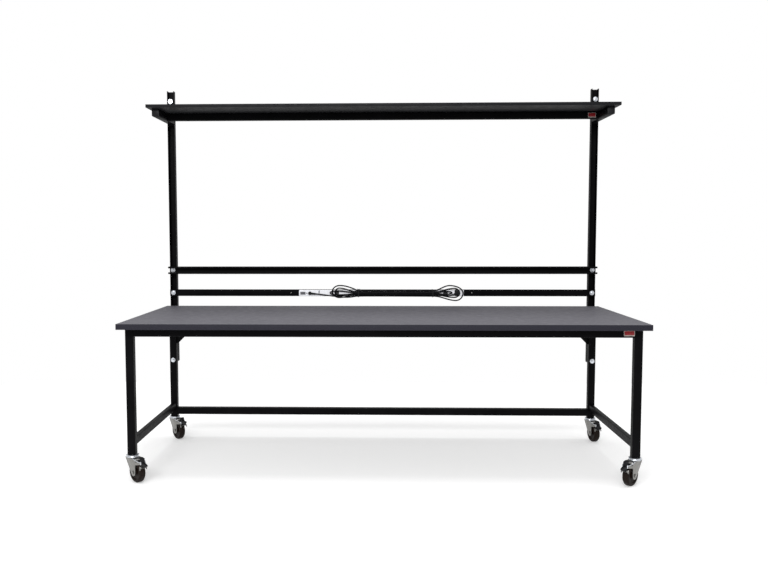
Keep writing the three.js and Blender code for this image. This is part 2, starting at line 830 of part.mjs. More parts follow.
// Gland on the strip's front, with a tapered boot that turns the cord along the strip
function cordGland() {
  const knob = turnedZ([
    [0, 0],
    [glandRadius, 0],
    [glandRadius, glandRim],
    [bootRadius, glandShoulder],
    [glandTipRadius, glandHeight],
    [0, glandHeight],
  ], glandSides).rotateX(quarterTurn).translate(glandX, glandY, flatRailCentre);
  const boot = taperX(bootRadius, bootTipRadius, bootLength, glandSides)
    .rotateY(bootSlope * degree).translate(glandX, glandY - bootStandOff, flatRailCentre);
  piece('cord_gland', join(knob, boot), blackPlastic);
}

// A point of the cord: x, how far it lies in front of the strip, and its height above the rail's middle
function cordPoint([x, forward, rise]) {
  return new THREE.Vector3(x, stripFrontY - forward, flatRailCentre + rise);
}

// Where the cord meets the boot on the gland and the boot on the plug
const bootEnd = bootLength + seat;
const leadStart = [
  glandX + bootEnd * Math.cos(bootSlope * degree),
  seat + bootStandOff,
  -bootEnd * Math.sin(bootSlope * degree),
];
const plugForward = bladeLength + seat + plugDepth / 2;
const plugBootRoot = [plugX - plugWidth / 2 + plugBootInset, plugForward, plugRise - plugBootDrop];
const plugBootEnd = plugBootLength + seat;
const tailEnd = [
  plugBootRoot[0] - plugBootEnd * Math.cos(plugBootSlope * degree),
  plugForward,
  plugBootRoot[2] - plugBootEnd * Math.sin(plugBootSlope * degree),
];
const tailStraight = [
  tailEnd[0] - cordDiameter * Math.cos(plugBootSlope * degree),
  plugForward,
  tailEnd[2] - cordDiameter * Math.sin(plugBootSlope * degree),
];
const hankStart = [waistLeft + overrun, hankForward, -2 * cordPitch];

// The stretch from the boot across the front of the hank's left loops, chosen by hand
const leadRoute = [
  leadStart,
  [-361, 9.1, -3.7],
  [-345, 9.7, -5.3],
  [-320, 10.9, -8.4],
  [-295, 12, -11.8],
  [-268, 12.7, -15.4],
  [-240, 12.7, -18.6],
  [-215, 12.6, -20.8],
  [-192, 11, -21.8],
  [-172, 8.2, -20.8],
  [-158, 5.9, -19.2],
  [-146, 4.4, -17.2],
  [hankStart[0] - seat, hankForward, hankStart[2]],
];

// The hank's seven runs, each by its row and its layer, and the six folds between them, from
// the gland's end on. A fold's crest is how far out it is highest or lowest. Where it is
// early, its upper branch leaves the run at once.
const hankRuns = [[-2, 0], [2, 0], [-1, 0], [1, 0], [0, 0], [0.5, 1], [-0.5, 1]];
const hankFolds = [
  { side: 1, reach: 163, top: 43.5, topCrest: 87, bottom: -40, bottomCrest: 123 },
  { side: -1, reach: 142, top: 43.5, topCrest: 100, bottom: -24, bottomCrest: 103, early: true },
  { side: 1, reach: 144, top: 28, topCrest: 114, bottom: -23, bottomCrest: 114 },
  { side: -1, reach: 125, top: 29, topCrest: 102, bottom: -15, bottomCrest: 103 },
  { side: 1, reach: 100, top: 12, topCrest: 62, bottom: -5, bottomCrest: 62 },
  { side: -1, reach: 154, top: 14, topCrest: 112, bottom: -8, bottomCrest: 104 },
];
const runPlace = ([row, layer]) => ({ rise: row * cordPitch, forward: hankForward + layer * cordPitch });

// The end of the last run: forward out of the loops and up to the plug, chosen by hand
const tailRoute = [
  [310, 12, -4],
  [325, 12.8, -4.6],
  [340, 14.6, -6.2],
  [355, 17.6, -8.4],
  [368, 21, -10.2],
  [379, 23.9, -11.2],
  tailStraight,
  tailEnd,
];

// How far a branch is on its way from its run's height to its crest, at a share of its reach
const leavesSlowly = (share) => THREE.MathUtils.smoothstep(share, 0, 1);
const leavesAtOnce = (share) => Math.sin(quarterTurn * Math.max(share, 0));

// One branch of a fold: from a point that is still on its run away to the crest, then a
// quarter round to the tip, where it meets the layer of the other branch half way
function foldBranch(waist, side, run, crest, crestReach, tip, leaves) {
  const points = [];
  for (let k = -1; k <= bendStepCount; k += 1) {
    const t = k / bendStepCount;
    const rise = run.rise + (crest - run.rise) * leaves(t);
    points.push([waist + side * crestReach * t, run.forward, rise]);
  }
  for (let k = 1; k < foldStepCount; k += 1) {
    const angle = quarterTurn * k / foldStepCount;
    const reach = crestReach + (tip.reach - crestReach) * Math.sin(angle);
    const forward = run.forward + (tip.forward - run.forward) * (1 - Math.cos(angle));
    points.push([waist + side * reach, forward, tip.rise + (crest - tip.rise) * Math.cos(angle)]);
  }
  return points;
}

function hankRoute() {
  const route = [hankStart];
  hankFolds.forEach(({ side, reach, top, topCrest, bottom, bottomCrest, early }, k) => {
    const waist = side > 0 ? waistRight : waistLeft;
    const [runOut, runBack] = [runPlace(hankRuns[k]), runPlace(hankRuns[k + 1])];
    const [lowerRun, upperRun] = side > 0 ? [runOut, runBack] : [runBack, runOut];
    const tip = { reach, rise: (top + bottom) / 2, forward: (runOut.forward + runBack.forward) / 2 };
    const lower = foldBranch(waist, side, lowerRun, bottom, bottomCrest, tip, leavesSlowly);
    const upper = foldBranch(waist, side, upperRun, top, topCrest, tip, early ? leavesAtOnce : leavesSlowly);
    const [out, back] = side > 0 ? [lower, upper] : [upper, lower];
    route.push(...out, [waist + side * reach, tip.forward, tip.rise], ...back.reverse());
  });
  const lastRun = runPlace(hankRuns[hankRuns.length - 1]);
  route.push([waistRight, lastRun.forward, lastRun.rise]);
  return [...route, ...tailRoute].map(cordPoint);
}

// A tube of straight stretches through points, with flat ends
function tubeThrough(points, radius, sides) {
  const corners = [];
  const faces = [];
  const last = points.length - 1;
  points.forEach((point, i) => {
    const along = points[Math.min(i + 1, last)].clone().sub(points[Math.max(i - 1, 0)]).normalize();
    const outward = axisY.clone().addScaledVector(along, -axisY.dot(along)).normalize();
    const across = along.clone().cross(outward);
    for (let k = 0; k < sides; k += 1) {
      const angle = fullTurn * k / sides;
      const corner = point.clone().addScaledVector(outward, radius * Math.cos(angle));
      corners.push(...corner.addScaledVector(across, radius * Math.sin(angle)));
    }
  });
  const at = (ring, k) => ring * sides + (k % sides);
  for (let ring = 0; ring < last; ring += 1) {
    for (let k = 0; k < sides; k += 1) {
      faces.push(at(ring, k), at(ring, k + 1), at(ring + 1, k));
      faces.push(at(ring, k + 1), at(ring + 1, k + 1), at(ring + 1, k));
    }
  }
  for (let k = 1; k < sides - 1; k += 1) {
    faces.push(at(0, 0), at(0, k + 1), at(0, k));
    faces.push(at(last, 0), at(last, k), at(last, k + 1));
  }
  const geometry = new THREE.BufferGeometry();
  geometry.setAttribute('position', new THREE.Float32BufferAttribute(corners, 3));
  geometry.setIndex(faces);
  return geometry;
}

// The least gap between stretches of a tube that are far apart along it
function leastGap(points, diameter) {
  const polyline = new THREE.CurvePath();
  points.slice(1).forEach((point, i) => polyline.add(new THREE.LineCurve3(points[i], point)));
  const length = polyline.getLength();
  const samples = polyline.getSpacedPoints(Math.ceil(length / (diameter / 2)));
  let least = Infinity;
  samples.forEach((a, i) => samples.slice(i + cordApartCount).forEach((b) => {
    least = Math.min(least, a.distanceTo(b) - diameter);
  }));
  return { least, length };
}

function cord() {
  const leadPath = new THREE.CatmullRomCurve3(leadRoute.map(cordPoint), false, 'centripetal');
  const circle = polygon(Array.from({ length: leadSides }, (_, k) => {
    const angle = fullTurn * k / leadSides;
    return [cordDiameter / 2 * Math.cos(angle), cordDiameter / 2 * Math.sin(angle)];
  }));
  const lead = new THREE.ExtrudeGeometry(circle, { steps: leadStepCount, extrudePath: leadPath });
  piece('cord_lead', lead, cordBlack);

  const route = hankRoute();
  piece('cord_hank', tubeThrough(route, cordDiameter / 2, hankSides), cordBlack);

  const whole = [...leadPath.getSpacedPoints(leadStepCount), ...route];
  const { least, length } = leastGap(whole, cordDiameter);
  console.log(`cord ${length.toFixed(0)} mm long, least gap to itself ${least.toFixed(2)} mm`);
}

// Ties: bands round the hank, the strip and the flat rail
function ties() {
  const rows = 2 * cordPitch + cordDiameter / 2;
  const halfHeight = Math.max(rows, stripHeight / 2, flatRailHeight / 2) + seat + tieThickness;
  const frontY = stripFrontY - hankForward - cordPitch - cordDiameter / 2 - seat - tieThickness;
  const rearY = topDepth + seat + tieThickness;
  const middleY = (frontY + rearY) / 2;
  const section = tubeSection(middleY, flatRailCentre, rearY - frontY, 2 * halfHeight, tieThickness, tieCorner);
  const band = (x) => alongX(section, x - tieWidth / 2, tieWidth);
  const top = flatRailCentre + halfHeight;
  const earY = frontY + tieCorner;
  const ears = block(
    [tieLeftX - tieEarWidth / 2, earY, top - tieThickness / 2],
    [tieLeftX + tieEarWidth / 2, earY + tieEarWidth, top + tieEarHeight],
  );
  piece('tie_left', join(band(tieLeftX), ears), blackPlastic);
  piece('tie_right', band(tieRightX), blackPlastic);
}

// Flat plug that stands on its blades in front of the strip, with its boot to the left
function plug() {
  const z = flatRailCentre + plugRise;
  const rearY = stripFrontY - seat - bladeLength;
  const frontY = rearY - plugDepth;
  const outline = roundedRectangle(z, plugX, plugHeight, plugWidth, plugCorner);
  const body = alongY(outline, frontY, plugDepth);
  const bladeZ = flatRailCentre + bladeRise;
  const blade = (x) => block(
    [x - bladeThickness / 2, rearY - overrun, bladeZ - bladeWidth / 2],
    [x + bladeThickness / 2, stripFrontY - seat, bladeZ + bladeWidth / 2],
  );
  const pin = barY(groundPinRadius, plugX, bladeZ - groundPinDrop, rearY - overrun, stripFrontY - seat);
  const root = cordPoint(plugBootRoot);
  const boot = taperX(plugBootRadius, plugBootTipRadius, plugBootLength, glandSides)
    .rotateY(halfTurn - plugBootSlope * degree).translate(root.x, root.y, root.z);
  const [left, right] = [plugX - bladeSpacing / 2, plugX + bladeSpacing / 2];
  piece('cord_plug', join(body, blade(left), blade(right), pin, boot), blackPlastic);
}

worktop();
legs();
lowerFrame();
uprights();
rails();
shelf();
bolts();
casters();
powerStrip();
cordGland();
cord();
ties();
plug();

export default bench;
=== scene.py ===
"""The looks of a workbench on casters, with a shelf, two rails and a power strip, built
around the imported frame. Lengths are in millimetres until a mesh is made from them."""
from contextlib import contextmanager
from math import acos, cos, pi, radians, sin, sqrt, tan

import bmesh
import bpy
from mathutils import Matrix, Vector
from mathutils.geometry import tessellate_polygon


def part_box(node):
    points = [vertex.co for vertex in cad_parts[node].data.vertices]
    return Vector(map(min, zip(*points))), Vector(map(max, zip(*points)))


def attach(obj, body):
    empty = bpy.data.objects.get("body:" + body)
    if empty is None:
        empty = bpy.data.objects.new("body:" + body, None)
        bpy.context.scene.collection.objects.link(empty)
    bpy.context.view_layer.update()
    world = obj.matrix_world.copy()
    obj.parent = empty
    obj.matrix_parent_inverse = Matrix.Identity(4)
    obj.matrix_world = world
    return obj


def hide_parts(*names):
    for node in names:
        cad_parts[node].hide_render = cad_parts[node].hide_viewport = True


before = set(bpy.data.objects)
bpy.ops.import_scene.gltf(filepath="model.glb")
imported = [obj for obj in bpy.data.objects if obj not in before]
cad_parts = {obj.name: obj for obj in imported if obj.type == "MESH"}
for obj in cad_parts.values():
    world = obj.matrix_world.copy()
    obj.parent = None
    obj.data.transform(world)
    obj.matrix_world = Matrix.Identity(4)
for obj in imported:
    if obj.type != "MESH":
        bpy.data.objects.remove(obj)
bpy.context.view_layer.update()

METRE = 0.001
SEAT = 0.3
QUARTER = pi / 2
HALF = pi
FULL = 2 * pi

# Camera, from a fit to the photograph's corners and edges
CAMERA_PLACE = (-15.88, -4112.18, 1180.81)
CAMERA_PITCH = 4.07
CAMERA_YAW = -1.58
CAMERA_ROLL = -0.08
FOCAL_PIXELS = 805.66
FRAME_PIXELS = 768
AXIS_PIXEL = 356.21
SENSOR = 36

# Mesh work: steps of a round by its size, and of a corner, and how close two corners are one
WIDE_STEPS = 64
ROUND_STEPS = 48
KNOB_STEPS = 40
PIN_STEPS = 32
CORNER_STEPS = 6
SMOOTH_STEPS = 6
MERGE = 0.002
NODE_MERGE = 0.005
FLAT_ANGLE = 1
TINY = 1e-6
# A path that starts closer to Y than this cosine takes its first normal from Z
STEEP = 0.9

# Tube, plate and board. Radii follow the corners of an outline in turn
TUBE = 38.1
TUBE_WALL = 3
TUBE_CORNER = 4
RAIL_WALL = 2
RAIL_CORNER = 3
UPRIGHT_WALL = 3
UPRIGHT_RADII = (0.9, 0.9, 1.2, 1.2, 0.9, 0.9, 4.5, 4.5)
CHANNEL_WALL = 2.5
CHANNEL_LIP = 9.5
CHANNEL_RETURN = 7
CHANNEL_RADII = (3.6, 3.6, 2.88, 0.5, 0.5, 0.72, 1.2, 1.2)
FLAT_RAIL_CORNER = 0.8
FLAT_RAIL_STEPS = 3
PLATE_ARRIS = 0.7
BAND_WIDTH = 2
BAND_ARRIS = 1.1
BAND_CORNER = 4
SHELF_ARRIS = 0.9
SHELF_CORNER = 3
LEAST_CORNER = 0.5
ARRIS_STEPS = 4
ARM_CAP_CORNER = 1
# Plastic cap of a shelf arm, from inside the tube to its face: (inset, depth)
ARM_CAP = ((3.4, 14), (3.4, 0), (1.2, 0), (0.7, -0.5), (0.9, -1.4), (2.4, -2))

# Welds, and how far their beads on the knee plates stay from the plate and its ends
WELD_RADIUS = 2.6
WELD_PITCH = 3.2
WELD_RIPPLE = 0.14
WELD_SIDES = 8
RIPPLE_STEPS = 4
WELD_INSET = 1.872
KNEE_BEAD_OUT = 2.7
KNEE_BEAD_FOOT = 6
KNEE_BEAD_HEAD = 4
KNEE_BEAD_END = 6

# Hexagons: share of the flat that stays full, slope of the chamfer, and the top's edge
HEX_STEPS = 72
HEX_FULL = 0.98
HEX_SLOPE = 32
HEX_RIM_DROP = 0.35
HEX_EDGE = 0.94
HEX_EDGE_DROP = 0.1
HEX_FACE = 0.93

# Bolts. Each head and nut is turned by an angle of its own, in radians
BOLT_RADIUS = 4.75
BOLT_CHAMFER = (0.9, 0.9)
BOLT_TAIL = 2
BOLT_OVERLAP = 0.5
HEAD_RADIUS = 8.2
HEAD_HEIGHT = 6
HEAD_TURN = 0.3
HEAD_TURN_PER_RISE = 0.011
NUT_HEIGHT = 8
NUT_TURN = 0.7
NUT_TURN_PER_RUN = 0.003
WASHER_RADIUS = 12.7
WASHER_THICKNESS = 2
WASHER_CHAMFERS = ((0.5, 0.5), (0.3, 0.3))
THREAD_PITCH = 1.25
THREAD_RADIUS = 0.32
THREAD_END = 0.8
THREAD_STEPS = 24
THREAD_SIDES = 6

# Casters, drawn about the swivel axis with the wheel trailing towards -Y
SWIVELS = {"front_left": 47, "front_right": -45, "rear_left": 42, "rear_right": 12.5}
PEDAL_TIPS = {"front_left": 0, "front_right": 0, "rear_left": 15, "rear_right": 0}
CASTER_HEIGHT = 127
CROWN_RADIUS = 30
CROWN_THICKNESS = 5.5
CROWN_EDGE = ((-2.2, 0), (-1.2, 0.2), (-0.2, 1.1), (0, 2), (-0.3, 3.1), (-2, 4), (-5, 4.4), (-8, 5.1),
              (-10, 5.5))
STEM_CLEARANCE = 0.45
STEM_LENGTH = 60
STEM_OVERLAP = 1
STEM_CHAMFER = (1, 1)
BEARING_GAP = 0.5
RACE_RADIUS = 28
RACE_THICKNESS = 6
RACE_EDGE = ((-1.2, -0.2), (1.25, -0.2), (1.45, 0.5), (0.65, 1.3), (0.35, 2.2), (0.35, 5), (-0.45, 6),
             (-1.2, 6), (-1.2, -0.2))
FORK_PLATE = 3
FORK_INSIDE = 41
KINGPIN_RADIUS = 6
KINGPIN_CHAMFER = (1, 0.9)
KINGPIN_TAIL = 1.5
KINGPIN_NUT = 9.5
KINGPIN_NUT_HEIGHT = 5
HORN_START = 60
HORN_REACH = 95
HORN_INSIDE = 19
HORN_EDGE = ((44, 115), (50, 115), (60, 112.2), (73, 108.6), (86, 105), (94, 107), (94.4, 100.5), (94, 95))
HORN_ROLL = 1.9
HORN_INSET = 0.2
HORN_SIDES = 12
HORN_SMOOTH = 5
TRAIL = 42
AXLE_HEIGHT = 50.8
AXLE_RADIUS = 4.7
AXLE_HEAD = 8
AXLE_COLLAR = 1.1
AXLE_COLLAR_CHAMFERS = ((0.2, 0.2), (0.3, 0.2))
AXLE_HEX = 7.5
AXLE_HEX_START = 0.9
AXLE_HEX_HEIGHT = 3.1
AXLE_HEX_TURN = 0.4
# Half of the wheel's section and one bush's section: (radius, distance from the middle)
WHEEL_SECTION = ((5.1, 20), (12, 20), (13, 19), (13.8, 12.5), (15.5, 11.2), (18, 11), (33, 11), (35, 11.6),
                 (36, 13), (36.6, 15), (37.8, 16), (44.3, 16), (45.8, 15.5), (48.4, 12.8), (50.1, 10.8),
                 (50.7, 9.6), (50.8, 9))
WHEEL_STEPS = 72
BUSH_SECTION = ((5.1, 18.4), (9.5, 18.4), (9.5, 19.9), (9, 20.15), (5.1, 20.15), (5.1, 18.4))
PEDAL_REACH = 66
PEDAL_HEIGHT = 105.5
KNOB_REACH = 77
KNOB_HEIGHT = 117
KNOB_SECTION = ((0, 0), (7.5, 0), (7.5, 8.5), (7, 9.5), (6, 10), (0, 10))
RIVET_SECTION = ((0, 9.5), (3.4, 9.5), (3.4, 10.4), (2.55, 11.2), (1.19, 11.6), (0, 11.7))
SHOE_SIDE = 18.2
SHOE_PLATE = 1.4
SHOE_BRIDGE = ((90, 85.3), (98.4, 76.4), (97.3, 75.4), (88.9, 84.3))
SHOE_LEG = ((89.5, 84.6), (97.5, 77.5), (98.4, 71), (95, 67.5), (91, 68.5), (89.6, 76))
SHOE_LEG_RADII = (0.5, 2, 2.5, 2, 2, 3)
SHOE_LEG_STEPS = 4

# Power strip. Its end is (distance from the end, inset)
STRIP_LENGTH = 924
STRIP_HEIGHT = 34
STRIP_DEPTH = 32
STRIP_CORNER = 3
STRIP_END = ((0, 0.9), (0.25, 0.35), (0.9, 0), (7, 0), (7.2, 0.35), (7.5, 0.35), (7.7, 0))
OUTLETS = 7
OUTLET_PITCH = 101.6
OUTLET_FROM_END = 102
OUTLET_WIDTH = 26
OUTLET_HEIGHT = 27.6
OUTLET_CORNER = 2
OUTLET_CLEARANCE = 0.2
OUTLET_DEPTH = 5.5
OUTLET_FACE = 0.9
OUTLET_FACE_DEPTH = 3
OUTLET_BACK = (3.9, 5.1)
CUTTER_OVERRUN = 2
SLOT_RISE = 3.4
SLOT_LENGTHS = {-1: 7.6, 1: 6.6}
SLOT_WIDTH = 2.2
SLOT_CORNER = 0.4
SLOT_STEPS = 2
GROUND_HOLE = 2.7
GROUND_HOLE_DROP = 6.2
GROUND_HOLE_FLOOR = 7.6
GROUND_HOLE_STEPS = 16
ROCKER_FROM_END = 22
ROCKER_LENGTH = 26
ROCKER_HEIGHT = 13
ROCKER_CLEARANCE = 0.6
POCKET_DEPTH = 12
POCKET_CORNER = 1
BEZEL_RIM = 2.6
BEZEL_RIM_CORNER = 1.6
BEZEL_OVERLAP = 0.3
BEZEL_HOLE_CORNER = 0.8
BEZEL_LEVELS = (0.2, -0.5, -0.7, 6)
LAMP_FROM_END = 44
LAMP_SECTION = ((0, -1), (3.4, -1), (3.4, 0.5), (3, 0.9), (2.9, 1.2), (2, 1.7), (0, 2))
TAB_FROM_END = 113
TAB_WIDTH = 6
TAB_HEIGHT = 17
TAB_RISE = 1.4
TAB_SINK = 1
TAB_DROP = 1.5
# Low round heads on the rail, with a sunk disc for the recess
SCREW_REACH = 509.6
SCREW_TURN = 0.5
SCREW_SECTION = ((0, -0.5), (4, -0.5), (4, 0.5), (3.72, 1.2), (3, 1.8), (1.8, 2.1), (1.6, 1.1), (0, 0.9))

# Gland and cord
GLAND_FROM_END = 61
GLAND_SECTION = ((0, 0), (9.4, 0), (10, 0.6), (10, 3.4), (9.3, 4.1), (8.2, 5), (7.4, 8), (6.6, 11.2),
                 (6, 13.2), (4.6, 14.7), (0, 15))
BOOT_LENGTH = 32
BOOT_RADIUS = 6.2
BOOT_TIP = 5
BOOT_STAND_OFF = 8.6
BOOT_SLOPE = 5
# A boot's root and tip: (share of the radius there, share of the length). Its grooves: where
# they begin, what share of the length they take, and (share, cut) of one
BOOT_ROOT = ((0, 0), (0.94, 0), (1, 0.03))
BOOT_END = ((1, 0.97), (0.93, 1), (0, 1))
RIB_START = 0.18
RIB_SPAN = 0.7
RIB_GROOVE = ((0.1, 0), (0.25, 1), (0.6, 1), (0.75, 0))
CORD = 7.3
CORD_PITCH = 7.9
CORD_ROUNDNESS = 5
WAIST_LEFT = -132
WAIST_RIGHT = 294
LEAD_OVERRUN = 2
BEND_STEPS = 5
FOLD_STEPS = 6

# Ties. The ends of the left one spread, wave and rise, and are twisted into a knot
TIES = {"tie_left": -127, "tie_right": 288}
TIE_WIDTH = 5
TIE_THICKNESS = 1.2
TIE_CORNER = 3
TIE_BORE_CORNER = 1.8
TIE_HEAD = ((-3.4, -0.2, -12), (3.4, 3.8, -6))
ENDS_HEIGHT = 8
ENDS_DEPTH = 4
ENDS_TURNS = {-1: 0.4, 1: -0.5}
ENDS_START = 1.6
ENDS_SPREAD = 7.5
ENDS_WAVE = 1.2
ENDS_SINK = 1
ENDS_RISE = 7.6
ENDS_DROOP = 2.2
ENDS_RADIUS = 0.95
ENDS_STEPS = 8
STRAND_SIDES = 8
STRAND_SMOOTH = 3
KNOT_RADIUS = 1.7
KNOT_TURNS = 1.5
KNOT_BASE = 0.2
KNOT_RISE = 2.6
KNOT_STRAND = 1
KNOT_STEPS = 14

# Plug. Its insets are (share of its depth, inset), from the blades' side to its front
PLUG_X = 421
PLUG_RISE = 5.5
PLUG_WIDTH = 25
PLUG_HEIGHT = 37
PLUG_DEPTH = 16
PLUG_INSETS = ((0, 2.2), (0.05, 0.8), (0.14, 0), (0.55, 0), (0.72, 0.7), (0.86, 2), (0.95, 3.8), (1, 6.2))
PLUG_CORNER = 6.2
PLUG_CORNER_LOSS = 0.2
PLUG_BOOT_LENGTH = 18
PLUG_BOOT_RADIUS = 6
PLUG_BOOT_TIP = 4.8
PLUG_BOOT_INSET = 4.5
PLUG_BOOT_DROP = 6.5
PLUG_BOOT_SLOPE = 20
GRIP_RUN = (-5.5, -2, 2, 5.5)
GRIP_DROP = 2
GRIP_PITCH = 4.6
GRIP_SINK = 0.35
GRIP_RADIUS = 0.85
GRIP_SIDES = 10
BLADE_LENGTH = 17
BLADE_WIDTH = 6.4
BLADE_THICKNESS = 1.6
BLADE_SPACING = 12.7
BLADE_RISE = 5
BLADE_ROOT = 1
GROUND_PIN = 2.4
GROUND_PIN_TIP = (0.96, 1.6)
GROUND_PIN_STEPS = 24
GROUND_DROP = 11.9

# Plates without words: what carries each, its place along X and its width
PLATES = {"apron_plate": ("front_apron", 1136, 50), "beam_plate": ("shelf_beam", 1128, 42)}
BORDER_HEIGHT = 26
BORDER_CORNER = 2.2
BORDER_DEPTHS = (-0.9, 0.2)
FIELD_HEIGHT = 18.6
FIELD_RISE = 1.2
FIELD_MARGIN = 5
FIELD_CORNER = 1.2
FIELD_DEPTHS = (-1.25, -0.5)

# Stage and lights: place, target, width, height and power
FLOOR_REACH = (2.9, 2.1)
FLOOR_TONE = (0.85, 0.85, 0.85)
FLOOR_GLOW = 0.26
SURROUND = 0.66
LIGHTS = {
    "overhead": ((0, -0.3, 4.6), (0, -0.2, 0), 3.6, 2.4, 142),
    "front": ((-0.8, -4.8, 3.0), (0, 0, 0.5), 4, 1.2, 185),
}


def low_high(node):
    """The lowest and highest corner of a node, in millimetres"""
    low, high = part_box(node)
    return low / METRE, high / METRE


STRIP_LOW, STRIP_TOP = low_high("strip_housing")
STRIP_FRONT = STRIP_LOW.y
STRIP_MIDDLE = (STRIP_LOW.z + STRIP_TOP.z) / 2
BENCH = "bench"


def new_object(name, data):
    made = bpy.data.objects.new(name, data)
    bpy.context.scene.collection.objects.link(made)
    return made


def moved(place):
    return Matrix.Translation(Vector(place))


def spin(angle, axis="Z"):
    return Matrix.Rotation(angle, 4, axis)


# Camera

def aim_camera():
    pitch, yaw, roll = (radians(a) for a in (CAMERA_PITCH, CAMERA_YAW, CAMERA_ROLL))
    data = bpy.data.cameras.new("camera")
    data.sensor_width = SENSOR
    data.lens = FOCAL_PIXELS / FRAME_PIXELS * SENSOR
    data.shift_x = (FRAME_PIXELS / 2 - AXIS_PIXEL) / FRAME_PIXELS
    camera = new_object("camera", data)
    turn = spin(-yaw) @ spin(QUARTER - pitch, "X") @ spin(roll)
    camera.matrix_world = moved(Vector(CAMERA_PLACE) * METRE) @ turn
    bpy.context.scene.camera = camera


aim_camera()


# Materials. A grain is the scale, detail and, where it isn't the usual one, roughness of
# a noise. The middle of a noise's values lies between NOISE_LOW and NOISE_HIGH

SHADER = "Principled BSDF"
NOISE_ROUGHNESS = 0.55
NOISE_LOW = 0.3
NOISE_HIGH = 0.7
DULLNESS = 0.86
# The colour sockets of a mix node, which has their names more than once
MIX_FIRST = 6
MIX_SECOND = 7
MIX_RESULT = 2


def set_inputs(node, values):
    for socket, value in values.items():
        node.inputs[socket].default_value = value


def add_node(tree, kind, values, links):
    """A node with some inputs set to values and others linked to outputs"""
    node = tree.nodes.new(kind)
    set_inputs(node, values)
    for socket, output in links.items():
        tree.links.new(output, node.inputs[socket])
    return node


def new_material(name, base, roughness, metallic=0.0, specular=0.5):
    made = bpy.data.materials.new(name)
    made.use_nodes = True
    set_inputs(made.node_tree.nodes[SHADER], {"Base Color": (*base, 1), "Roughness": roughness,
                                              "Metallic": metallic, "Specular IOR Level": specular})
    return made


def places(tree, stretch=(1, 1, 1)):
    """Places on the piece itself, in metres, for textures that move with it"""
    source = tree.nodes.new("ShaderNodeTexCoord").outputs["Object"]
    return add_node(tree, "ShaderNodeMapping", {"Scale": stretch}, {"Vector": source}).outputs["Vector"]


def noise(tree, where, scale, detail, roughness=NOISE_ROUGHNESS):
    values = {"Scale": scale, "Detail": detail, "Roughness": roughness}
    return add_node(tree, "ShaderNodeTexNoise", values, {"Vector": where}).outputs["Fac"]


def ramp(tree, value, stops):
    """Turns a value into a colour between (value, colour) stops"""
    node = add_node(tree, "ShaderNodeValToRGB", {}, {"Fac": value})
    band = node.color_ramp
    while len(band.elements) < len(stops):
        band.elements.new(0.5)
    for element, (place, colour) in zip(band.elements, stops):
        element.position = place
        element.color = (*colour, 1)
    return node.outputs["Color"]


def spread(tree, value, low, high):
    """Maps the middle of a noise's values to a range of numbers"""
    values = {"From Min": NOISE_LOW, "From Max": NOISE_HIGH, "To Min": low, "To Max": high}
    return add_node(tree, "ShaderNodeMapRange", values, {"Value": value}).outputs["Result"]


def bump(tree, height, depth, strength):
    """Adds a bump of that depth in metres on top of any bump that the shader has"""
    normal = tree.nodes[SHADER].inputs["Normal"]
    links = {"Height": height}
    if normal.is_linked:
        links["Normal"] = normal.links[0].from_socket
    node = add_node(tree, "ShaderNodeBump", {"Strength": strength, "Distance": depth}, links)
    tree.links.new(node.outputs["Normal"], normal)


def surface(name, base, roughness, tint, gloss, relief, tint_relief=None, stretch=(1, 1, 1), **more):
    """A material whose colour, roughness and relief each follow a noise of their own.
    tint is a grain and its colour stops, gloss a grain and the range of the roughness, and
    relief a grain, its depth in metres and its strength. The tint may have a relief too"""
    made = new_material(name, base, roughness, **more)
    tree = made.node_tree
    shader = tree.nodes[SHADER]
    where = places(tree)
    grain, stops = tint
    tint_noise = noise(tree, places(tree, stretch), *grain)
    tree.links.new(ramp(tree, tint_noise, stops), shader.inputs["Base Color"])
    grain, low, high = gloss
    tree.links.new(spread(tree, noise(tree, where, *grain), low, high), shader.inputs["Roughness"])
    grain, *deep = relief
    bump(tree, noise(tree, where, *grain), *deep)
    if tint_relief:
        bump(tree, tint_noise, *tint_relief)
    return made


def powder_coat():
    made = surface(
        "powder_coat", (0.003, 0.003, 0.0035), 0.42,
        ((9, 4), [(0.3, (0.0014, 0.0013, 0.0017)), (0.7, (0.0032, 0.003, 0.0037))]),
        ((60, 5), 0.34, 0.5), ((900, 2), 0.00008, 0.5), specular=0.045)
    tree = made.node_tree
    cells = add_node(tree, "ShaderNodeTexVoronoi", {"Scale": 520}, {"Vector": places(tree)})
    bump(tree, cells.outputs["Distance"], 0.00005, 0.4)
    return made


def laminate():
    made = surface(
        "laminate", (0.15, 0.15, 0.175), 0.6,
        ((1400, 2, 0.7), [(0.32, (0.077, 0.075, 0.087)), (0.5, (0.093, 0.091, 0.105)),
                          (0.7, (0.112, 0.110, 0.126))]),
        ((34, 5), 0.52, 0.68), ((1100, 3), 0.00005, 0.5), specular=0.2)
    tree = made.node_tree
    base = tree.nodes[SHADER].inputs["Base Color"]
    clouds = ramp(tree, noise(tree, places(tree), 6, 5), [(0.3, (0.94, 0.94, 0.94)), (0.7, (1, 1, 1))])
    mix = add_node(tree, "ShaderNodeMix", {"Factor": 1},
                   {MIX_FIRST: base.links[0].from_socket, MIX_SECOND: clouds})
    mix.data_type = "RGBA"
    mix.blend_type = "MULTIPLY"
    tree.links.new(mix.outputs[MIX_RESULT], base)
    return made


def metal(name, base, low, high):
    """Bright metal with a fine grain"""
    dull = tuple(c * DULLNESS for c in base)
    return surface(name, base, 0.3, ((150, 4), [(0.35, dull), (0.65, base)]), ((380, 5), low, high),
                   ((1600, 3), 0.00003, 0.6), metallic=1.0)


def moulded(name, base, low, high, specular=0.4, scale=1500, depth=0.00006, shade=0.78):
    """Moulded plastic or rubber with a fine grain"""
    dark = tuple(c * shade for c in base)
    return surface(name, base, (low + high) / 2, ((70, 4), [(0.3, dark), (0.7, base)]), ((140, 4), low, high),
                   ((scale, 2), depth, 0.6), specular=specular)


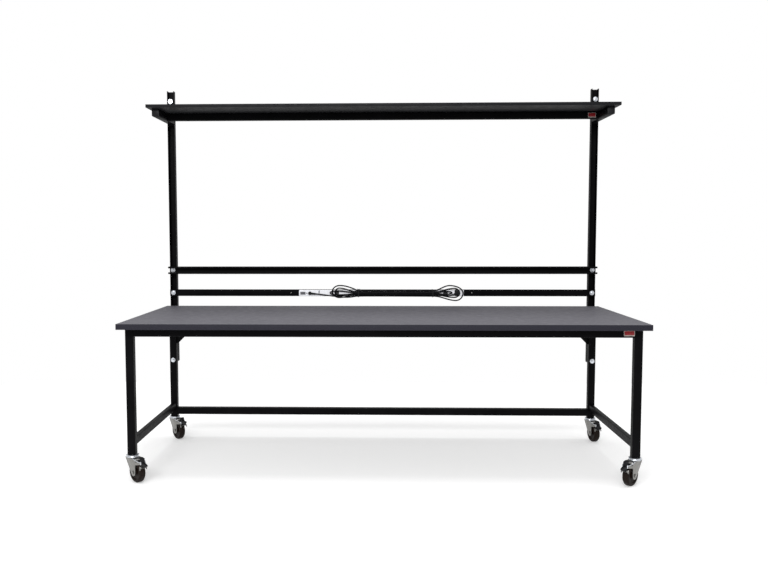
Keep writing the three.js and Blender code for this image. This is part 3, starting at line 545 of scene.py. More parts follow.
POWDER = powder_coat()
LAMINATE = laminate()
EDGE = surface(
    "edge_band", (0.03, 0.029, 0.038), 0.5,
    ((260, 3), [(0.3, (0.013, 0.0125, 0.0185)), (0.7, (0.021, 0.0203, 0.029))]),
    ((45, 4), 0.42, 0.58), ((700, 2), 0.00006, 0.5), specular=0.15)
BACKING = surface(
    "backing_sheet", (0.09, 0.088, 0.086), 0.7,
    ((130, 6, 0.7), [(0.34, (0.062, 0.060, 0.058)), (0.5, (0.083, 0.081, 0.079)),
                     (0.68, (0.108, 0.105, 0.101))]),
    ((60, 4), 0.6, 0.8), ((900, 3), 0.00008, 0.5), (0.00006, 0.4), (1, 9, 1), specular=0.2)
SHELF = surface(
    "shelf_laminate", (0.008, 0.008, 0.009), 0.5,
    ((900, 2, 0.7), [(0.3, (0.0052, 0.0053, 0.0063)), (0.7, (0.0092, 0.0094, 0.011))]),
    ((30, 5), 0.42, 0.58), ((1000, 3), 0.00005, 0.5), specular=0.1)
ZINC = metal("zinc", (0.72, 0.75, 0.8), 0.2, 0.38)
CHEEK = metal("zinc_cheek", (0.24, 0.236, 0.225), 0.28, 0.42)
NICKEL = metal("nickel", (0.66, 0.62, 0.54), 0.16, 0.28)
TREAD = surface(
    "wheel_tread", (0.02, 0.012, 0.009), 0.45,
    ((220, 6, 0.7), [(0.3, (0.0035, 0.0022, 0.0018)), (0.52, (0.0078, 0.0045, 0.0031)),
                     (0.72, (0.023, 0.0112, 0.0066))]),
    ((90, 5), 0.34, 0.6), ((1200, 4), 0.0001, 0.5), specular=0.1)
BLACK = moulded("black_plastic", (0.006, 0.006, 0.0075), 0.36, 0.5, specular=0.18)
OUTLET = moulded("outlet_face", (0.018, 0.018, 0.021), 0.4, 0.5)
ENAMEL = moulded("white_enamel", (0.9, 0.905, 0.945), 0.26, 0.36, scale=900, depth=0.00004, shade=0.95)
CORD_JACKET = moulded("cord_jacket", (0.0022, 0.0022, 0.0036), 0.4, 0.55, specular=0.1, scale=1100)
RED = moulded("red_plate", (0.30, 0.008, 0.012), 0.36, 0.46)
PALE = moulded("plate_border", (0.42, 0.37, 0.34), 0.36, 0.46)
LAMP = moulded("lamp_lens", (0.05, 0.048, 0.07), 0.14, 0.2)
ROCKER_GREY = moulded("rocker_grey", (0.12, 0.12, 0.135), 0.3, 0.42)
GREY_MARK = moulded("grey_mark", (0.25, 0.25, 0.27), 0.4, 0.5)


# Meshes

@contextmanager
def edited(mesh):
    """A mesh opened for editing, and written back afterwards"""
    work = bmesh.new()
    work.from_mesh(mesh)
    yield work
    work.to_mesh(mesh)
    work.free()


class Solid:
    """Corners in millimetres and faces of a piece, gathered from simple forms"""

    def __init__(self):
        self.corners = []
        self.faces = []

    def add(self, corners, faces, place=None):
        first = len(self.corners)
        corners = [Vector(c) for c in corners]
        self.corners += corners if place is None else [place @ c for c in corners]
        self.faces += [tuple(first + k for k in face) for face in faces]
        return self

    def skin(self, rings, wrap=False, place=None):
        """A skin over rings of equally many points, with capped ends or joined into a loop"""
        count = len(rings[0])
        spans = len(rings) if wrap else len(rings) - 1
        faces = []
        for r in range(spans):
            a, b = r * count, (r + 1) % len(rings) * count
            for k in range(count):
                n = (k + 1) % count
                faces.append((a + k, a + n, b + n, b + k))
        if not wrap:
            faces.append(tuple(reversed(range(count))))
            faces.append(tuple(range(spans * count, (spans + 1) * count)))
        return self.add([p for ring in rings for p in ring], faces, place)

    def turned(self, profile, steps=ROUND_STEPS, place=None):
        """A turned form about Z from (radius, z) points; a radius of zero closes an end"""
        closed = profile[0][0] > 0 and profile[0] == profile[-1]
        corners, rows = [], []
        for radius, z in profile[:-1] if closed else profile:
            if radius == 0:
                rows.append([len(corners)] * steps)
                corners.append((0, 0, z))
            else:
                rows.append([len(corners) + k for k in range(steps)])
                corners += [(radius * cos(FULL * k / steps), radius * sin(FULL * k / steps), z)
                            for k in range(steps)]
        faces = []
        for low, high in zip(rows, rows[1:] + rows[:1] if closed else rows[1:]):
            for k in range(steps):
                n = (k + 1) % steps
                face = dict.fromkeys((low[k], low[n], high[n], high[k]))
                if len(face) > 2:
                    faces.append(tuple(face))
        return self.add(corners, faces, place)

    def block(self, low, high):
        (x0, y0, z0), (x1, y1, z1) = low, high
        ring = [(x0, y0), (x1, y0), (x1, y1), (x0, y1)]
        return self.skin([[(x, y, z) for x, y in ring] for z in (z0, z1)])

    def mesh(self, name):
        mesh = bpy.data.meshes.new(name)
        mesh.from_pydata([tuple(c * METRE) for c in self.corners], [], self.faces)
        with edited(mesh) as work:
            bmesh.ops.remove_doubles(work, verts=work.verts, dist=MERGE * METRE)
            bmesh.ops.recalc_face_normals(work, faces=work.faces)
        return mesh

    def piece(self, name, material, **dressing):
        return dress(name, self.mesh(name), material, **dressing)


def dress(name, mesh, material, body=BENCH, replaces=None, arris=0.0, smooth=35, segments=2):
    """A piece of a mesh, with its bevel, shading, finish and body"""
    piece = new_object(name, mesh)
    mesh.materials.clear()
    mesh.materials.append(material)
    if arris:
        with edited(mesh) as work:
            sharp = [e for e in work.edges
                     if len(e.link_faces) == 2 and e.calc_face_angle(0) > radians(smooth)]
            bmesh.ops.bevel(work, geom=sharp, offset=arris * METRE, segments=segments, profile=0.5,
                            affect="EDGES", clamp_overlap=True)
            bmesh.ops.recalc_face_normals(work, faces=work.faces)
    mesh.polygons.foreach_set("use_smooth", [True] * len(mesh.polygons))
    mesh.set_sharp_from_angle(angle=radians(smooth))
    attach(piece, body)
    if replaces:
        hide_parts(replaces)
    return piece


def refined(node, material, body=BENCH, arris=0.8, smooth=30, segments=2):
    """A copy of a node with its edges rounded, that stands for the node"""
    name = f"{node}_form"
    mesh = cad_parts[node].data.copy()
    mesh.name = name
    with edited(mesh) as work:
        bmesh.ops.remove_doubles(work, verts=work.verts, dist=NODE_MERGE * METRE)
        bmesh.ops.dissolve_limit(work, angle_limit=radians(FLAT_ANGLE), verts=work.verts, edges=work.edges)
    return dress(name, mesh, material, body, node, arris, smooth, segments)


def rounded(u, v, width, height, radius, steps=CORNER_STEPS):
    """Points of a rectangle with round corners about (u, v)"""
    points = []
    for turn, (su, sv) in enumerate(((1, 1), (-1, 1), (-1, -1), (1, -1))):
        for k in range(steps + 1):
            angle = turn * QUARTER + QUARTER * k / steps
            points.append((u + su * (width / 2 - radius) + radius * cos(angle),
                           v + sv * (height / 2 - radius) + radius * sin(angle)))
    return points


def filleted(points, radii, steps=CORNER_STEPS):
    """A polygon whose corners are rounded, each by its own radius"""
    made = []
    for k, radius in enumerate(radii):
        corner = Vector(points[k])
        before = (Vector(points[k - 1]) - corner).normalized()
        after = (Vector(points[(k + 1) % len(points)]) - corner).normalized()
        half = acos(max(-1, min(1, before.dot(after)))) / 2
        middle = corner + (before + after).normalized() * radius / sin(half)
        start = corner + before * radius / tan(half) - middle
        sweep = HALF - 2 * half
        turn = 1 if before.x * after.y - before.y * after.x < 0 else -1
        for step in range(steps + 1):
            angle = turn * sweep * step / steps
            made.append((middle.x + start.x * cos(angle) - start.y * sin(angle),
                         middle.y + start.x * sin(angle) + start.y * cos(angle)))
    return made


AXES = {
    "x": lambda u, v, w: (w, u, v),
    "y": lambda u, v, w: (v, w, u),
    "z": lambda u, v, w: (u, v, w),
}


def prism(outline, axis, start, end, solid=None, place=None):
    """An outline extruded along an axis: drawn in (y, z), (z, x) or (x, y)"""
    solid = solid or Solid()
    return solid.skin([[AXES[axis](u, v, w) for u, v in outline] for w in (start, end)], place=place)


def hollow(loops, axis):
    """A closed skin through (outline, place along the axis) loops with equally many points"""
    return Solid().skin([[AXES[axis](u, v, w) for u, v in loop] for loop, w in loops], wrap=True)


def tapering(axis, u, v, width, height, levels):
    """Rings of a rounded rectangle along an axis, with (inset, corner, place) for each"""
    return [[AXES[axis](a, b, place) for a, b in rounded(u, v, width - 2 * inset, height - 2 * inset, corner)]
            for inset, corner, place in levels]


def tube(outline, bore, axis, start, end):
    """A hollow length between an outline and a bore with as many points"""
    return hollow(((outline, start), (outline, end), (bore, end), (bore, start)), axis)


def pin(radius, start, end, low=(0, 0), high=(0, 0)):
    """The profile of a pin about Z, with a chamfer (inwards, along) at either end"""
    points = [(0, start), (radius - low[0], start)]
    if any(low):
        points.append((radius, start + low[1]))
    if any(high):
        points.append((radius, end - high[1]))
    return [*points, (radius - high[0], end), (0, end)]


def offset(edge, radius, base):
    """Points of an edge as steps from a radius and a height"""
    return [(radius + out, base + up) for out, up in edge]


def facing_front(place):
    """Puts a form about Z at a place, with its top towards -Y"""
    return moved(place) @ spin(QUARTER, "X")


def facing_back(place):
    """Puts a form about Z at a place, with its top towards +Y"""
    return moved(place) @ spin(-QUARTER, "X")


def bored_plate(solid, outline, holes, front, depth):
    """A flat plate with holes, drawn in (z, x), from its front along Y"""
    loops = [outline, *holes]
    flat = [[Vector((u, v, 0)) for u, v in loop] for loop in loops]
    points = [p for loop in flat for p in loop]
    levels = (front, front + depth)
    for level in levels:
        solid.add([AXES["y"](p.x, p.y, level) for p in points], tessellate_polygon(flat))
    for loop in loops:
        count = len(loop)
        corners = [AXES["y"](u, v, level) for level in levels for u, v in loop]
        solid.add(corners, [(k, (k + 1) % count, count + (k + 1) % count, count + k) for k in range(count)])


# Cord: the same route as its solids follow, smoothed

def cord_place(x, forward, rise):
    return Vector((x, STRIP_FRONT - forward, STRIP_MIDDLE + rise))


def slope(length, degrees):
    return length * cos(radians(degrees)), length * sin(radians(degrees))


GLAND_X = -STRIP_LENGTH / 2 + GLAND_FROM_END
HANK_FORWARD = SEAT + CORD / 2
BOOT_RUN, BOOT_FALL = slope(BOOT_LENGTH + SEAT, BOOT_SLOPE)
LEAD_START = (GLAND_X + BOOT_RUN, SEAT + BOOT_STAND_OFF, -BOOT_FALL)
PLUG_FORWARD = BLADE_LENGTH + SEAT + PLUG_DEPTH / 2
PLUG_ROOT = (PLUG_X - PLUG_WIDTH / 2 + PLUG_BOOT_INSET, PLUG_FORWARD, PLUG_RISE - PLUG_BOOT_DROP)
TAIL_RUN, TAIL_FALL = slope(PLUG_BOOT_LENGTH + SEAT, PLUG_BOOT_SLOPE)
TAIL_END = (PLUG_ROOT[0] - TAIL_RUN, PLUG_FORWARD, PLUG_ROOT[2] - TAIL_FALL)
STRAIGHT_RUN, STRAIGHT_FALL = slope(CORD, PLUG_BOOT_SLOPE)
TAIL_STRAIGHT = (TAIL_END[0] - STRAIGHT_RUN, PLUG_FORWARD, TAIL_END[2] - STRAIGHT_FALL)

LEAD_ROUTE = [
    LEAD_START,
    (-361, 9.1, -3.7),
    (-345, 9.7, -5.3),
    (-320, 10.9, -8.4),
    (-295, 12, -11.8),
    (-268, 12.7, -15.4),
    (-240, 12.7, -18.6),
    (-215, 12.6, -20.8),
    (-192, 11, -21.8),
    (-172, 8.2, -20.8),
    (-158, 5.9, -19.2),
    (-146, 4.4, -17.2),
    (WAIST_LEFT + LEAD_OVERRUN, HANK_FORWARD, -2 * CORD_PITCH),
]
TAIL_ROUTE = [
    (310, 12, -4),
    (325, 12.8, -4.6),
    (340, 14.6, -6.2),
    (355, 17.6, -8.4),
    (368, 21, -10.2),
    (379, 23.9, -11.2),
    TAIL_STRAIGHT,
    TAIL_END,
]
# Row and layer of each run of the hank, from the gland's end on
HANK_RUNS = [(-2, 0), (2, 0), (-1, 0), (1, 0), (0, 0), (0.5, 1), (-0.5, 1)]
# Each fold: side, reach of its tip, then height and reach of its upper and lower crests,
# and whether its upper branch leaves the run at once
HANK_FOLDS = [
    (1, 163, 43.5, 87, -40, 123, False),
    (-1, 142, 43.5, 100, -24, 103, True),
    (1, 144, 28, 114, -23, 114, False),
    (-1, 125, 29, 102, -15, 103, False),
    (1, 100, 12, 62, -5, 62, False),
    (-1, 154, 14, 112, -8, 104, False),
]


def run_place(run):
    """How far forward a run of the hank lies, and how high"""
    row, layer = run
    return HANK_FORWARD + layer * CORD_PITCH, row * CORD_PITCH


def fold_branch(waist, side, run, crest, crest_reach, tip, at_once):
    """From a point still on its run away to the crest, then a quarter round towards the tip"""
    forward, rise = run
    tip_reach, tip_forward, tip_rise = tip
    points = []
    for k in range(-1, BEND_STEPS + 1):
        t = k / BEND_STEPS
        held = max(t, 0)
        way = sin(QUARTER * held) if at_once else held * held * (3 - 2 * held)
        points.append((waist + side * crest_reach * t, forward, rise + (crest - rise) * way))
    for k in range(1, FOLD_STEPS):
        angle = QUARTER * k / FOLD_STEPS
        reach = crest_reach + (tip_reach - crest_reach) * sin(angle)
        points.append((waist + side * reach, forward + (tip_forward - forward) * (1 - cos(angle)),
                       tip_rise + (crest - tip_rise) * cos(angle)))
    return points


def hank_route():
    route = []
    runs = [run_place(run) for run in HANK_RUNS]
    for k, (side, reach, top, top_crest, bottom, bottom_crest, early) in enumerate(HANK_FOLDS):
        waist = WAIST_RIGHT if side > 0 else WAIST_LEFT
        low_run, high_run = (runs[k], runs[k + 1]) if side > 0 else (runs[k + 1], runs[k])
        tip = (reach, (runs[k][0] + runs[k + 1][0]) / 2, (top + bottom) / 2)
        lower = fold_branch(waist, side, low_run, bottom, bottom_crest, tip, False)
        upper = fold_branch(waist, side, high_run, top, top_crest, tip, early)
        out, back = (lower, upper) if side > 0 else (upper, lower)
        route += [*out, (waist + side * reach, *tip[1:]), *reversed(back)]
    return [*route, (WAIST_RIGHT, *runs[-1])]


def between(p, q, start, end, t):
    return p * ((end - t) / (end - start)) + q * ((t - start) / (end - start))


def smoothed(points, steps=SMOOTH_STEPS):
    """Points close together on one smooth curve through the given points"""
    points = [2 * points[0] - points[1], *points, 2 * points[-1] - points[-2]]
    made = []
    for a, b, c, d in zip(points, points[1:], points[2:], points[3:]):
        times = [0]
        for p, q in ((a, b), (b, c), (c, d)):
            times.append(times[-1] + sqrt(max((q - p).length, TINY)))
        t0, t1, t2, t3 = times
        for k in range(steps):
            t = t1 + (t2 - t1) * k / steps
            middle = between(b, c, t1, t2, t)
            first = between(between(a, b, t0, t1, t), middle, t0, t2, t)
            second = between(middle, between(c, d, t2, t3, t), t1, t3, t)
            made.append(between(first, second, t1, t2, t))
    return [*made, points[-2]]


def swept(solid, path, radius, sides, ripple=None, closed=False):
    """A round skin along a path of points. ripple gives the radius share at each point"""
    rings = []
    count = len(path)
    normal = None
    for i, point in enumerate(path):
        before = path[i - 1] if i or closed else path[0]
        after = path[(i + 1) % count] if i < count - 1 or closed else path[-1]
        tangent = (after - before).normalized()
        if normal is None:
            normal = Vector((0, 1, 0)) if abs(tangent.y) < STEEP else Vector((0, 0, 1))
        normal = (normal - tangent * normal.dot(tangent)).normalized()
        across = tangent.cross(normal)
        r = radius * (ripple(i) if ripple else 1)
        rings.append([point + normal * r * cos(FULL * k / sides) + across * r * sin(FULL * k / sides)
                      for k in range(sides)])
    return solid.skin(rings, wrap=closed)


def cord_piece():
    path = smoothed([cord_place(*p) for p in [*LEAD_ROUTE, *hank_route(), *TAIL_ROUTE]])
    length = sum((b - a).length for a, b in zip(path, path[1:]))
    curve = bpy.data.curves.new("cord", "CURVE")
    curve.dimensions = "3D"
    curve.bevel_depth = CORD / 2 * METRE
    curve.bevel_resolution = CORD_ROUNDNESS
    curve.use_fill_caps = True
    curve.materials.append(CORD_JACKET)
    spline = curve.splines.new("POLY")
    spline.points.add(len(path) - 1)
    for point, place in zip(spline.points, path):
        point.co = (*(place * METRE), 1)
    spline.use_smooth = True
    cord = new_object("cord", curve)
    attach(cord, BENCH)
    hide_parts("cord_lead", "cord_hank")
    return cord, length


def boot(solid, root, radius, tip, length, degrees, ribs, depth):
    """A tapered boot with grooves round it, from its root along X and down by some degrees"""
    points = [(radius * share, length * along) for share, along in BOOT_ROOT]
    for k in range(ribs):
        for share, cut in RIB_GROOVE:
            z = length * RIB_START + (k + share) * length * RIB_SPAN / ribs
            points.append((radius + (tip - radius) * z / length - cut * depth, z))
    points += [(tip * share, length * along) for share, along in BOOT_END]
    turn = moved(root) @ spin(QUARTER + radians(degrees), "Y")
    return solid.turned(points, place=turn)


def plug_pieces():
    middle = Vector((PLUG_X, STRIP_FRONT - PLUG_FORWARD, STRIP_MIDDLE + PLUG_RISE))
    back, front = middle.y + PLUG_DEPTH / 2, middle.y - PLUG_DEPTH / 2
    levels = [(inset, PLUG_CORNER - inset * PLUG_CORNER_LOSS, back + (front - back) * share)
              for share, inset in PLUG_INSETS]
    body = Solid().skin(tapering("y", middle.z, middle.x, PLUG_HEIGHT, PLUG_WIDTH, levels))
    boot(body, cord_place(*PLUG_ROOT), PLUG_BOOT_RADIUS, PLUG_BOOT_TIP, PLUG_BOOT_LENGTH,
         180 - PLUG_BOOT_SLOPE, ribs=4, depth=0.7)
    shell = body.piece("plug_body", BLACK, replaces="cord_plug", smooth=40)
    grip = Solid()
    for k in (-1, 0, 1):
        z = middle.z - GRIP_DROP + k * GRIP_PITCH
        swept(grip, [Vector((middle.x + u, front + GRIP_SINK, z)) for u in GRIP_RUN], GRIP_RADIUS, GRIP_SIDES)
    grips = grip.piece("plug_grips", BLACK)
    blades = Solid()
    blade_z = STRIP_MIDDLE + BLADE_RISE
    root, end = back - BLADE_ROOT, STRIP_FRONT - SEAT
    for side in (-1, 1):
        x = PLUG_X + side * BLADE_SPACING / 2
        blades.block((x - BLADE_THICKNESS / 2, root, blade_z - BLADE_WIDTH / 2),
                     (x + BLADE_THICKNESS / 2, end, blade_z + BLADE_WIDTH / 2))
    blades.turned(pin(GROUND_PIN, 0, end - root, high=GROUND_PIN_TIP), GROUND_PIN_STEPS,
                  facing_back((PLUG_X, root, blade_z - GROUND_DROP)))
    return [shell, grips, blades.piece("plug_blades", NICKEL, arris=0.25)]


def tie_ends(name, x, y, top):
    """The two twisted ends of a tie and the knot between them"""
    ends = Solid()
    for side, turns in ENDS_TURNS.items():
        path = []
        for k in range(ENDS_STEPS + 1):
            t = k / ENDS_STEPS
            path.append(Vector((x + side * (ENDS_START + ENDS_SPREAD * t * t),
                                y + ENDS_WAVE * sin(FULL * t * turns),
                                top - ENDS_SINK + ENDS_RISE * t - ENDS_DROOP * t * t)))
        swept(ends, smoothed(path, STRAND_SMOOTH), ENDS_RADIUS, STRAND_SIDES)
    knot = []
    for k in range(KNOT_STEPS + 1):
        angle = FULL * KNOT_TURNS * k / KNOT_STEPS
        knot.append(Vector((x + KNOT_RADIUS * cos(angle), y + KNOT_RADIUS * sin(angle),
                            top + KNOT_BASE + KNOT_RISE * k / KNOT_STEPS)))
    swept(ends, smoothed(knot, STRAND_SMOOTH), KNOT_STRAND, STRAND_SIDES)
    return ends.piece(f"{name}_ends", BLACK, smooth=60)


def tie_pieces():
    pieces = []
    for name, x in TIES.items():
        low, high = low_high(name)
        has_ends = name == "tie_left"
        top = high.z - (ENDS_HEIGHT if has_ends else 0)
        y, z = (low.y + high.y) / 2, (low.z + top) / 2
        depth, height = high.y - low.y, top - low.z
        outer = rounded(y, z, depth, height, TIE_CORNER)
        inner = rounded(y, z, depth - 2 * TIE_THICKNESS, height - 2 * TIE_THICKNESS, TIE_BORE_CORNER)
        band = tube(outer, inner, "x", x - TIE_WIDTH / 2, x + TIE_WIDTH / 2)
        pieces.append(band.piece(f"{name}_band", BLACK, replaces=name, arris=0.25))
        if has_ends:
            pieces.append(tie_ends(name, x, low.y + ENDS_DEPTH, top))
        else:
            head = Solid().block(*[(x + dx, low.y + dy, z + dz) for dx, dy, dz in TIE_HEAD])
            pieces.append(head.piece(f"{name}_head", BLACK, arris=0.6))
    return pieces


def gland_piece():
    solid = Solid().turned(GLAND_SECTION, place=facing_front((GLAND_X, STRIP_FRONT - SEAT, STRIP_MIDDLE)))
    root = cord_place(GLAND_X, SEAT + BOOT_STAND_OFF, 0)
    boot(solid, root, BOOT_RADIUS, BOOT_TIP, BOOT_LENGTH, BOOT_SLOPE, ribs=6, depth=0.8)
    return solid.piece("gland_form", BLACK, replaces="cord_gland", smooth=40)


cord, cord_length = cord_piece()
cord_parts = plug_pieces() + tie_pieces()
gland_piece()


# Frame of square tube

def tube_like(node, axis, wall, corner):
    low, high = low_high(node)
    u, v, w = {"x": (1, 2, 0), "y": (2, 0, 1), "z": (0, 1, 2)}[axis]
    middle = (low + high) / 2
    size = high - low
    outline = rounded(middle[u], middle[v], size[u], size[v], corner)
    bore = rounded(middle[u], middle[v], size[u] - 2 * wall, size[v] - 2 * wall, corner / 2)
    tube(outline, bore, axis, low[w], high[w]).piece(f"{node}_tube", POWDER, replaces=node, smooth=50)


def weld(solid, corners, closed=True):
    """A rippled bead along straight runs between corners"""
    path = []
    for a, b in zip(corners, corners[1:] + corners[:1] if closed else corners[1:]):
        a, b = Vector(a), Vector(b)
        count = max(2, round((b - a).length / (WELD_PITCH / RIPPLE_STEPS)))
        path += [a.lerp(b, k / count) for k in range(count)]
    if not closed:
        path.append(Vector(corners[-1]))
    swept(solid, path, WELD_RADIUS, WELD_SIDES,
          lambda i: 1 + WELD_RIPPLE * sin(FULL * i / RIPPLE_STEPS), closed)


def weld_ends(solid, node, axis):
    """Beads round both ends of a tube"""
    low, high = low_high(node)
    u, v = [k for k in range(3) if k != axis]
    near, far = low + Vector([WELD_INSET] * 3), high - Vector([WELD_INSET] * 3)
    for end in (low[axis] - SEAT, high[axis] + SEAT):
        loop = []
        for pu, pv in ((near[u], near[v]), (far[u], near[v]), (far[u], far[v]), (near[u], far[v])):
            point = Vector()
            point[axis], point[u], point[v] = end, pu, pv
            loop.append(point)
        weld(solid, loop)


def base_frame():
    for end in ("front", "rear"):
        for side in ("left", "right"):
            tube_like(f"{end}_{side}_leg", "z", TUBE_WALL, TUBE_CORNER)
    for node in ("front_apron", "rear_apron"):
        tube_like(node, "x", RAIL_WALL, RAIL_CORNER)
    tube_like("rear_stretcher", "x", TUBE_WALL, TUBE_CORNER)
    for side in ("left", "right"):
        tube_like(f"{side}_apron", "y", RAIL_WALL, RAIL_CORNER)
        tube_like(f"{side}_side_rail", "y", RAIL_WALL, RAIL_CORNER)
        refined(f"{side}_knee_plate", POWDER, arris=PLATE_ARRIS)
    beads = Solid()
    for node in ("front_apron", "rear_apron", "rear_stretcher"):
        weld_ends(beads, node, 0)
    for node in ("left_apron", "right_apron", "left_side_rail", "right_side_rail"):
        weld_ends(beads, node, 1)
    weld_ends(beads, "shelf_beam", 0)
    for side, name in ((-1, "left"), (1, "right")):
        low, high = low_high(f"{name}_knee_plate")
        outer, inner = (low.x, high.x) if side < 0 else (high.x, low.x)
        for out in (-KNEE_BEAD_OUT, KNEE_BEAD_OUT):
            y = (low.y + high.y) / 2 + out
            upright = [(outer, y, low.z + KNEE_BEAD_FOOT), (outer, y, high.z - KNEE_BEAD_HEAD)]
            level = [(x, y, high.z) for x in (outer - side * KNEE_BEAD_END, inner + side * KNEE_BEAD_END)]
            for run in (upright, level):
                weld(beads, run, closed=False)
    beads.piece("weld_beads", POWDER, smooth=60)


def uprights():
    for side in ("left", "right"):
        node = f"{side}_upright"
        low, high = low_high(node)
        x0, x1, y0, y1, wall = low.x, high.x, low.y, high.y, UPRIGHT_WALL
        points = [(x0, y0), (x0 + wall, y0), (x0 + wall, y1 - wall), (x1 - wall, y1 - wall), (x1 - wall, y0),
                  (x1, y0), (x1, y1), (x0, y1)]
        solid = prism(filleted(points, UPRIGHT_RADII), "z", low.z, high.z)
        solid.piece(f"{node}_form", POWDER, replaces=node, smooth=40)


def rails():
    low, high = low_high("upper_rail")
    half = (high.z - low.z) / 2
    middle = (high.z + low.z) / 2
    lip = half - CHANNEL_LIP
    front, back, wall = low.y, high.y, CHANNEL_WALL
    upper = [(back, half), (front, half), (front, lip), (front + CHANNEL_RETURN, lip),
             (front + CHANNEL_RETURN, lip + wall), (front + wall, lip + wall), (front + wall, half - wall),
             (back - wall, half - wall)]
    lower = [(y, -z) for y, z in reversed(upper)]
    outline = [(y, middle + z) for y, z in filleted(upper + lower, CHANNEL_RADII + CHANNEL_RADII[::-1])]
    prism(outline, "x", low.x, high.x).piece("upper_rail_form", POWDER, replaces="upper_rail", smooth=40)

    low, high = low_high("lower_rail")
    outline = rounded((low.y + high.y) / 2, (low.z + high.z) / 2, high.y - low.y, high.z - low.z,
                      FLAT_RAIL_CORNER, FLAT_RAIL_STEPS)
    bar = prism(outline, "x", low.x, high.x)
    bar.piece("lower_rail_form", POWDER, replaces="lower_rail", arris=0.4, smooth=50)


# Boards

def board_rings(low, high, corner, profile):
    """Rings round the plan of a board whose edge follows (inset, z) points"""
    middle = (low + high) / 2
    levels = [(inset, max(corner - inset, LEAST_CORNER), z) for inset, z in profile]
    return tapering("z", middle.x, middle.y, high.x - low.x, high.y - low.y, levels)


def arris_profile(z0, z1, radius):
    """From the lower face round the edge to the upper face"""
    angles = [QUARTER * k / ARRIS_STEPS for k in range(ARRIS_STEPS + 1)]
    lower = [(radius * (1 - sin(a)), z0 + radius * (1 - cos(a))) for a in angles]
    return lower + [(radius * (1 - cos(a)), z1 - radius * (1 - sin(a))) for a in angles]


def worktop():
    low, high = low_high("worktop_edge_band")
    profile = [(BAND_WIDTH, low.z), *arris_profile(low.z, high.z, BAND_ARRIS), (BAND_WIDTH, high.z)]
    band = Solid().skin(board_rings(low, high, BAND_CORNER, profile), wrap=True)
    band.piece("edge_band_form", EDGE, replaces="worktop_edge_band", smooth=40)
    # These two keep their shapes
    for node, finish in (("worktop_laminate", LAMINATE), ("worktop_core", BACKING)):
        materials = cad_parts[node].data.materials
        materials.clear()
        materials.append(finish)


def shelf():
    low, high = low_high("shelf_board")
    board = Solid().skin(board_rings(low, high, SHELF_CORNER, arris_profile(low.z, high.z, SHELF_ARRIS)))
    board.piece("shelf_board_form", SHELF, replaces="shelf_board", smooth=40)
    tube_like("shelf_beam", "x", RAIL_WALL, RAIL_CORNER)
    z = low.z - SEAT - TUBE / 2
    for side in ("left", "right"):
        refined(f"{side}_shelf_arm", POWDER, smooth=50)
        low, high = low_high(f"{side}_shelf_arm")
        levels = [(inset, max(TUBE_CORNER - inset, ARM_CAP_CORNER), low.y + depth)
                  for inset, depth in ARM_CAP]
        cap = Solid().skin(tapering("y", z, (low.x + high.x) / 2, TUBE, TUBE, levels))
        cap.piece(f"{side}_arm_cap", BLACK, smooth=40)


# Bolts

def hex_head(solid, radius, base, height, place):
    """A hexagon with a turned chamfer, from a base height along Z"""
    flat = radius * cos(HALF / 6)
    lower, rim, upper = [], [], []
    for k in range(HEX_STEPS):
        angle = FULL * k / HEX_STEPS
        reach = flat / cos((angle + HALF / 6) % (HALF / 3) - HALF / 6)
        drop = (reach - flat * HEX_FULL) * tan(radians(HEX_SLOPE))
        x, y = cos(angle), sin(angle)
        lower.append((reach * x, reach * y, base))
        rim.append((reach * x, reach * y, base + height - HEX_RIM_DROP - drop))
        upper.append((flat * HEX_EDGE * x, flat * HEX_EDGE * y, base + height - HEX_EDGE_DROP))
    top = [(x * HEX_FACE, y * HEX_FACE, base + height) for x, y, _ in upper]
    return solid.skin([lower, rim, upper, top], place=place)


def bolt_form(node):
    low, high = low_high(node)
    x, z = (low.x + high.x) / 2, (low.z + high.z) / 2
    washer_front = low.y + HEAD_HEIGHT
    washer_back = washer_front + WASHER_THICKNESS
    nut_back = high.y - BOLT_TAIL
    solid = Solid()
    ahead, back = facing_front((x, 0, z)), facing_back((x, 0, z))
    hex_head(solid, HEAD_RADIUS, -washer_front, HEAD_HEIGHT, ahead @ spin(HEAD_TURN + z * HEAD_TURN_PER_RISE))
    solid.turned(pin(WASHER_RADIUS, washer_front, washer_back, *WASHER_CHAMFERS), place=back)
    solid.turned(pin(BOLT_RADIUS, washer_back - BOLT_OVERLAP, high.y, high=BOLT_CHAMFER), PIN_STEPS, back)
    nut = back @ spin(NUT_TURN + x * NUT_TURN_PER_RUN)
    hex_head(solid, HEAD_RADIUS, nut_back - NUT_HEIGHT, NUT_HEIGHT, nut)
    thread = []
    for k in range(int((high.y - THREAD_END - nut_back) / THREAD_PITCH * THREAD_STEPS) + 1):
        angle = FULL * k / THREAD_STEPS
        thread.append(Vector((x + BOLT_RADIUS * cos(angle), nut_back + THREAD_PITCH * k / THREAD_STEPS,
                              z + BOLT_RADIUS * sin(angle))))
    swept(solid, thread, THREAD_RADIUS, THREAD_SIDES)
    solid.piece(f"{node}_form", ZINC, replaces=node, smooth=32)


# Casters

